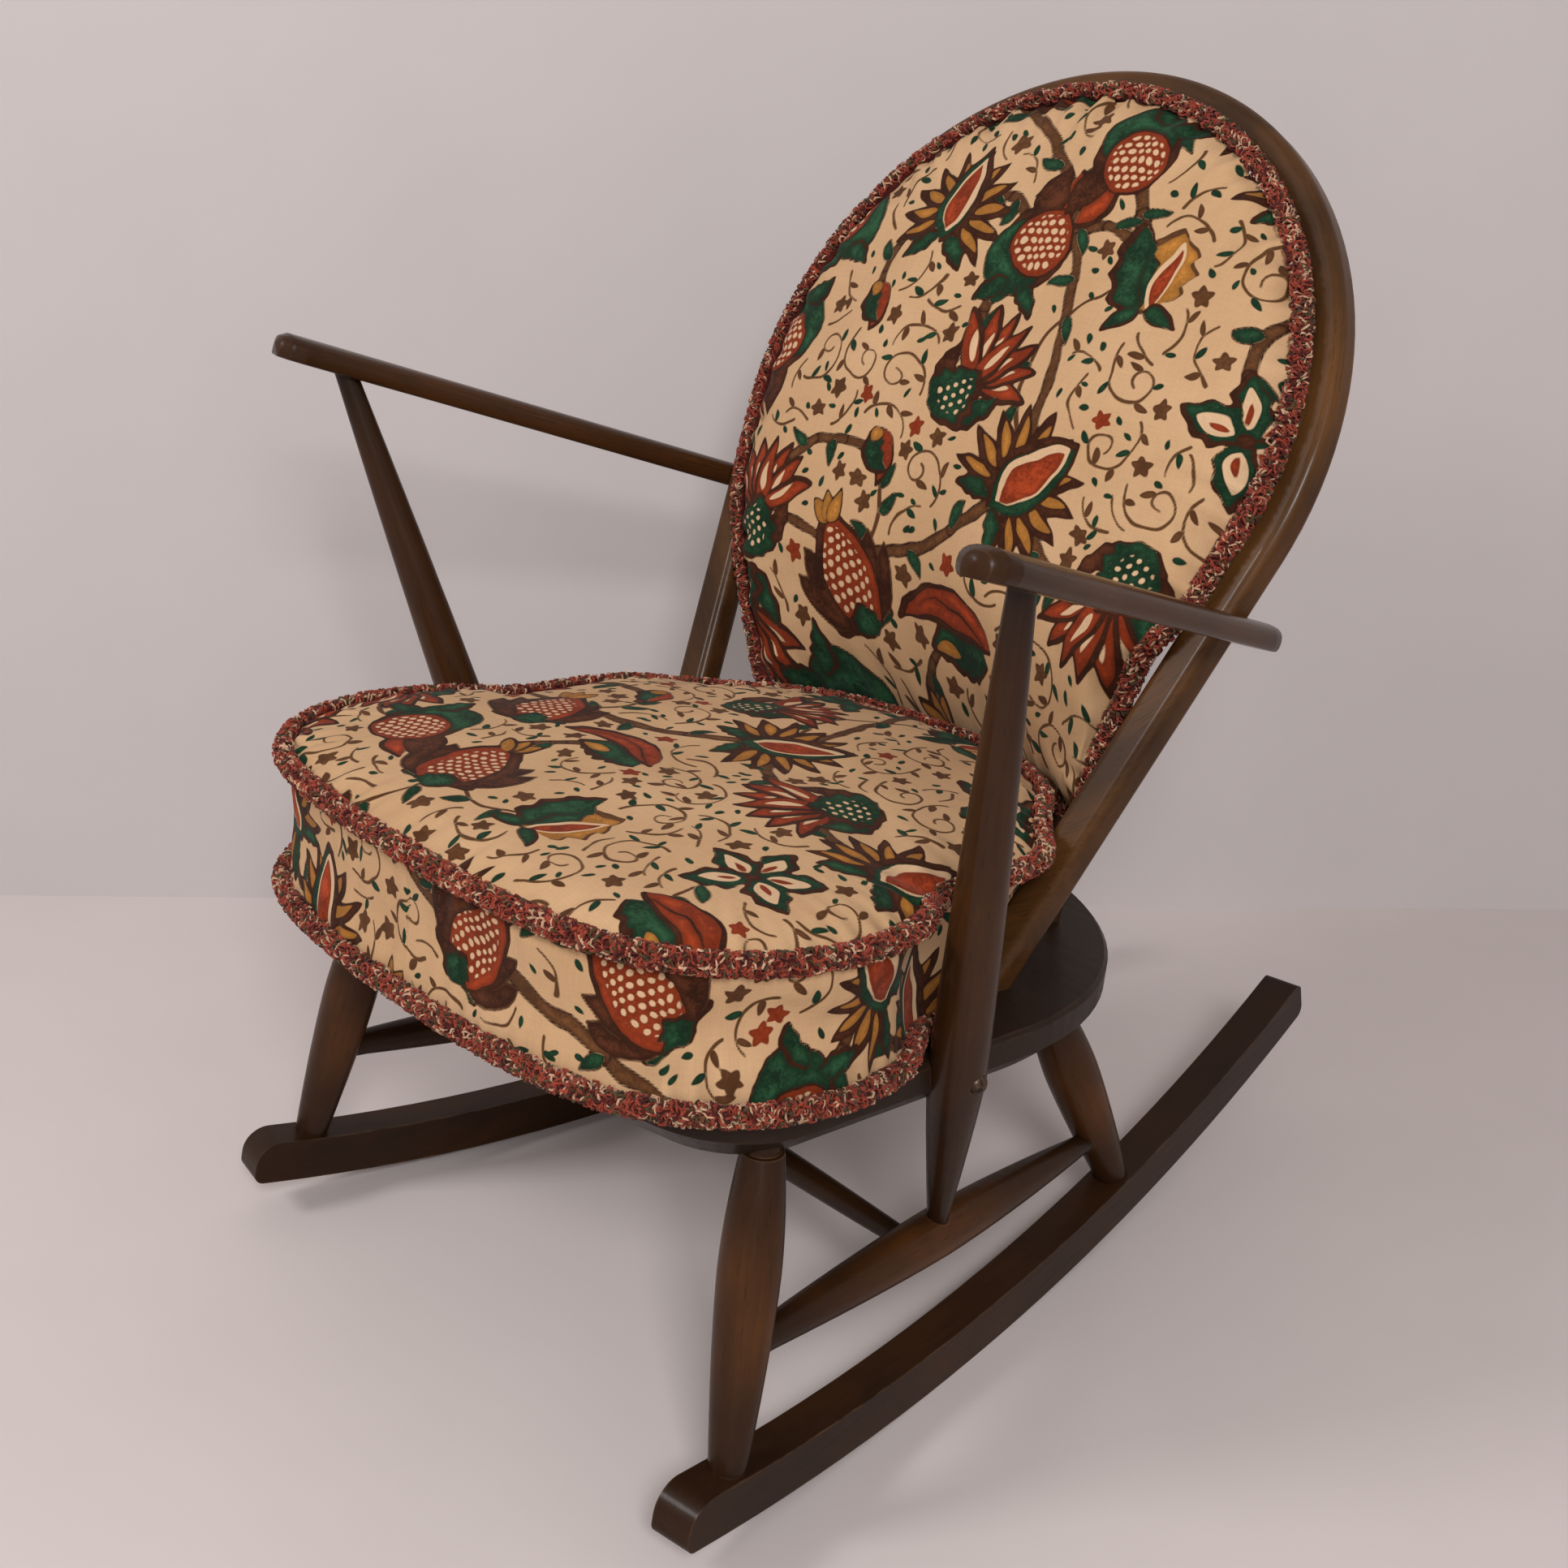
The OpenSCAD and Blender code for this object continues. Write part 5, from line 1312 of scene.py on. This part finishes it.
def fringe_loops(line, directions, pick):
    """Points, faces and tints of the yarn loops, each placed by chance round the core."""
    look = bpy.context.scene.chair_fringe
    n, length = len(line), np.linalg.norm(np.roll(line, -1, 0) - line, axis=1).sum()
    count = int(look.loops_per_m * length)
    template, template_faces = loop_template()
    at = pick.uniform(0, n, count)
    low = np.floor(at).astype(int) % n
    high, f = (low + 1) % n, (at % 1)[:, None]
    spot, way, out, over = (v[low] * (1 - f) + v[high] * f for v in (line, *directions))

    def draw(least, most):
        return pick.uniform(least, most, count)[:, None]

    phi = draw(-LOOPS_ROUND, LOOPS_ROUND)
    outward = np.cos(phi) * out + np.sin(phi) * over
    around = -np.sin(phi) * out + np.cos(phi) * over
    psi = draw(0, math.tau)
    flat = np.cos(psi) * way + np.sin(psi) * around
    lean = draw(-LOOP_LEAN, LOOP_LEAN)
    rise = outward * np.cos(lean) + np.cross(outward, flat) * np.sin(lean)
    side = np.cross(rise, flat)
    base = spot + outward * CORE_R * 0.86
    height = look.bush * draw(0.55, 1.1)[..., None]
    span = look.bush * draw(0.35, 0.75)[..., None]
    thick = look.yarn / 2 * draw(0.75, 1.15)[..., None]
    bow = math.pi * (template[:, 2] + 0.5)[None, :, None]
    x, y = (template[:, axis][None, :, None] for axis in (0, 1))
    taper = thick * (0.75 + 0.35 * np.sin(bow))
    points = (base[:, None] + flat[:, None] * (span + taper * x) * np.cos(bow)
              + rise[:, None] * (height + taper * x) * np.sin(bow) + side[:, None] * taper * y)
    faces = template_faces[None] + (np.arange(count) * len(template))[:, None, None]
    clump = sum(np.sin(at / n * math.tau * w + p) for w, p in zip(
        pick.integers(60, 260, 6), pick.uniform(0, math.tau, 6))) / 6
    tint = np.clip(pick.uniform(0, 1, count) + 0.25 * clump, 0, 0.999)
    return points.reshape(-1, 3), faces.reshape(-1, 4), np.repeat(tint, len(template))


def fringe_mesh(name, line, up, seed):
    """A braid of yarn loops round a soft core, along a closed line in metres."""
    pick = np.random.default_rng(seed)
    way, out, over = frames_along(line, up)
    core, core_faces = fringe_core(line, out, over, pick)
    loops, loop_faces, tint = fringe_loops(line, (way, out, over), pick)
    verts = np.vstack([core, loops])
    quads = np.vstack([core_faces, loop_faces + len(core)])
    mesh = bpy.data.meshes.new(name)
    mesh.vertices.add(len(verts))
    mesh.vertices.foreach_set("co", verts.ravel())
    mesh.loops.add(quads.size)
    mesh.loops.foreach_set("vertex_index", quads.ravel().astype(np.int32))
    mesh.polygons.add(len(quads))
    mesh.polygons.foreach_set("loop_start", np.arange(0, quads.size, 4, dtype=np.int32))
    mesh.polygons.foreach_set("use_smooth", np.ones(len(quads), bool))
    mesh.update(calc_edges=True)
    mesh.validate()
    tints = np.concatenate([np.full(len(core), CORE_TINT), tint])
    point_attribute(mesh, "yarn_tint", tints)
    return place_piece(name, mesh)


class CHAIR_OT_fringes(bpy.types.Operator):
    """Make the bushy fringe along the three seams of the cushions"""
    bl_idname = "chair.fringes"
    bl_label = "Make the fringes"

    def execute(self, context):
        for name, height, seed in (("top", PAD_TOP, 1), ("bottom", PAD_SEAM_H, 2)):
            line = SEAT.out(on_board(outline(pad_loop(height), FRINGE_STEPS, FRINGE_OUT), height))
            self.dress(fringe_mesh(f"seat_{name}_fringe", line, SEAT.axes[2], seed),
                       "seat_cushion", "seat_fringe_" + name)
        line = HOOP.out(on_back(outline(back_loop(), FRINGE_STEPS, FRINGE_OUT)))
        self.dress(fringe_mesh("back_seam_fringe", line, HOOP.axes[2], 3),
                   "back_cushion", "back_fringe")
        return {"FINISHED"}

    def dress(self, piece, body, node):
        give(piece, yarn_material())
        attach(piece, body)
        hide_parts(node)


# Studio

# The photograph's camera: its place in metres, and how far it is turned, raised and rolled.
CAMERA_AT = (0.99245, -0.98898, 0.93317)
CAMERA_TURN, CAMERA_RISE, CAMERA_ROLL = (math.radians(v) for v in (48.875, 24.983, 1.028))
# A point on the backdrop's foot and the way that the foot runs.
WALL_POINT = (-0.402, 0.3131)
WALL_WAY = (0.6427, 0.7661)
FLOOR_HALF, WALL_HEIGHT = 6, 4


class CHAIR_OT_studio(bpy.types.Operator):
    """Set up the camera, the pale floor and backdrop, and the soft lights"""
    bl_idname = "chair.studio"
    bl_label = "Set up the studio"

    def execute(self, context):
        look = context.scene.chair_studio
        data = bpy.data.cameras.new("view")
        data.sensor_width, data.lens = 36.0, 47.10
        data.shift_x, data.shift_y = 0.0388, 0.0499
        camera = bpy.data.objects.new("view", data)
        camera.matrix_world = (
            Matrix.Translation(CAMERA_AT) @ Matrix.Rotation(CAMERA_TURN, 4, "Z")
            @ Matrix.Rotation(math.pi / 2 - CAMERA_RISE, 4, "X")
            @ Matrix.Rotation(CAMERA_ROLL, 4, "Z"))
        context.scene.collection.objects.link(camera)
        context.scene.camera = camera
        far, high = FLOOR_HALF, WALL_HEIGHT
        self.plane("floor", [(-far, -far, 0), (far, -far, 0), (far, far, 0), (-far, far, 0)],
                   look.floor, 0.55)
        px, py = WALL_POINT
        wx, wy = (c * far for c in WALL_WAY)
        self.plane("backdrop", [
            (px - wx, py - wy, 0), (px + wx, py + wy, 0), (px + wx, py + wy, high),
            (px - wx, py - wy, high)], look.wall, 0.9, one_sided=True)
        self.lamp("key", (2.2, -1.7, 2.2), look.key)
        self.lamp("fill", (-1.1, -2.4, 2.3), look.fill)
        world = bpy.data.worlds.new("air")
        world.use_nodes = True
        back = world.node_tree.nodes["Background"]
        back.inputs[0].default_value = (1.0, 0.97, 0.96, 1)
        back.inputs[1].default_value = look.air
        context.scene.world = world
        context.scene.view_settings.view_transform = "Standard"
        return {"FINISHED"}

    def plane(self, name, corners, colour, roughness, one_sided=False):
        """A painted plane; a one-sided one is clear when seen from behind."""
        mesh = bpy.data.meshes.new(name)
        mesh.from_pydata(corners, [], [(0, 1, 2, 3)])
        piece = place_piece(name, mesh)
        material, shade, shader = new_material(name + "_paint")
        stains = shade.noise(shade.place(), 3.0, detail=5.0, roughness=0.6)
        shade.feed(shader, {
            "Base Color": shade.mix(
                shade.remap(stains, 0.3, 0.7), [c * 0.95 for c in colour], colour),
            "Roughness": roughness})
        if one_sided:
            behind = shade.node("NewGeometry").outputs["Backfacing"]
            clear = shade.node("BsdfTransparent").outputs[0]
            mixed = shade.node("MixShader", {0: behind, 1: shader.outputs[0], 2: clear})
            shade.feed(material.node_tree.nodes["Material Output"],
                       {"Surface": mixed.outputs[0]})
        give(piece, material)

    def lamp(self, name, place, power):
        data = bpy.data.lights.new(name, "AREA")
        data.shape, data.size, data.energy = "SQUARE", 0.7, power
        lamp = bpy.data.objects.new(name, data)
        lamp.location = place
        lamp.rotation_mode = "QUATERNION"
        lamp.rotation_quaternion = (Vector((0, 0, 0.4)) - Vector(place)).to_track_quat("-Z", "Y")
        bpy.context.scene.collection.objects.link(lamp)


# Panel

class CHAIR_PT_panel(bpy.types.Panel):
    """Lists the steps that dress the rocking chair, and their settings"""
    bl_idname = "CHAIR_PT_panel"
    bl_label = "Rocking chair"
    bl_space_type = "VIEW_3D"
    bl_region_type = "UI"
    bl_category = "Rocking chair"

    def draw(self, context):
        for settings in SETTINGS:
            box = self.layout.box()
            group = getattr(context.scene, settings)
            for name in group.bl_rna.properties.keys():
                if name not in ("name", "rna_type"):
                    box.prop(group, name)
        for step in STEPS:
            self.layout.operator(step.bl_idname)


SETTINGS = {"chair_wood": WoodSettings, "chair_cloth": ClothSettings,
            "chair_fringe": FringeSettings, "chair_studio": StudioSettings}
STEPS = (CHAIR_OT_studio, CHAIR_OT_dress_wood, CHAIR_OT_dress_metal, CHAIR_OT_seat_cushion,
         CHAIR_OT_back_cushion, CHAIR_OT_fringes)


def register():
    for kind in (*SETTINGS.values(), *STEPS, CHAIR_PT_panel):
        bpy.utils.register_class(kind)
    for name, kind in SETTINGS.items():
        setattr(bpy.types.Scene, name, bpy.props.PointerProperty(type=kind))


def unregister():
    for name in SETTINGS:
        delattr(bpy.types.Scene, name)
    for kind in reversed((*SETTINGS.values(), *STEPS, CHAIR_PT_panel)):
        bpy.utils.unregister_class(kind)


def main():
    register()
    select_only()
    bpy.ops.chair.studio()
    bpy.ops.chair.dress_wood()
    bpy.ops.chair.dress_metal()
    bpy.ops.chair.seat_cushion()
    bpy.ops.chair.back_cushion()
    bpy.ops.chair.fringes()


if __name__ == "__main__":
    main()
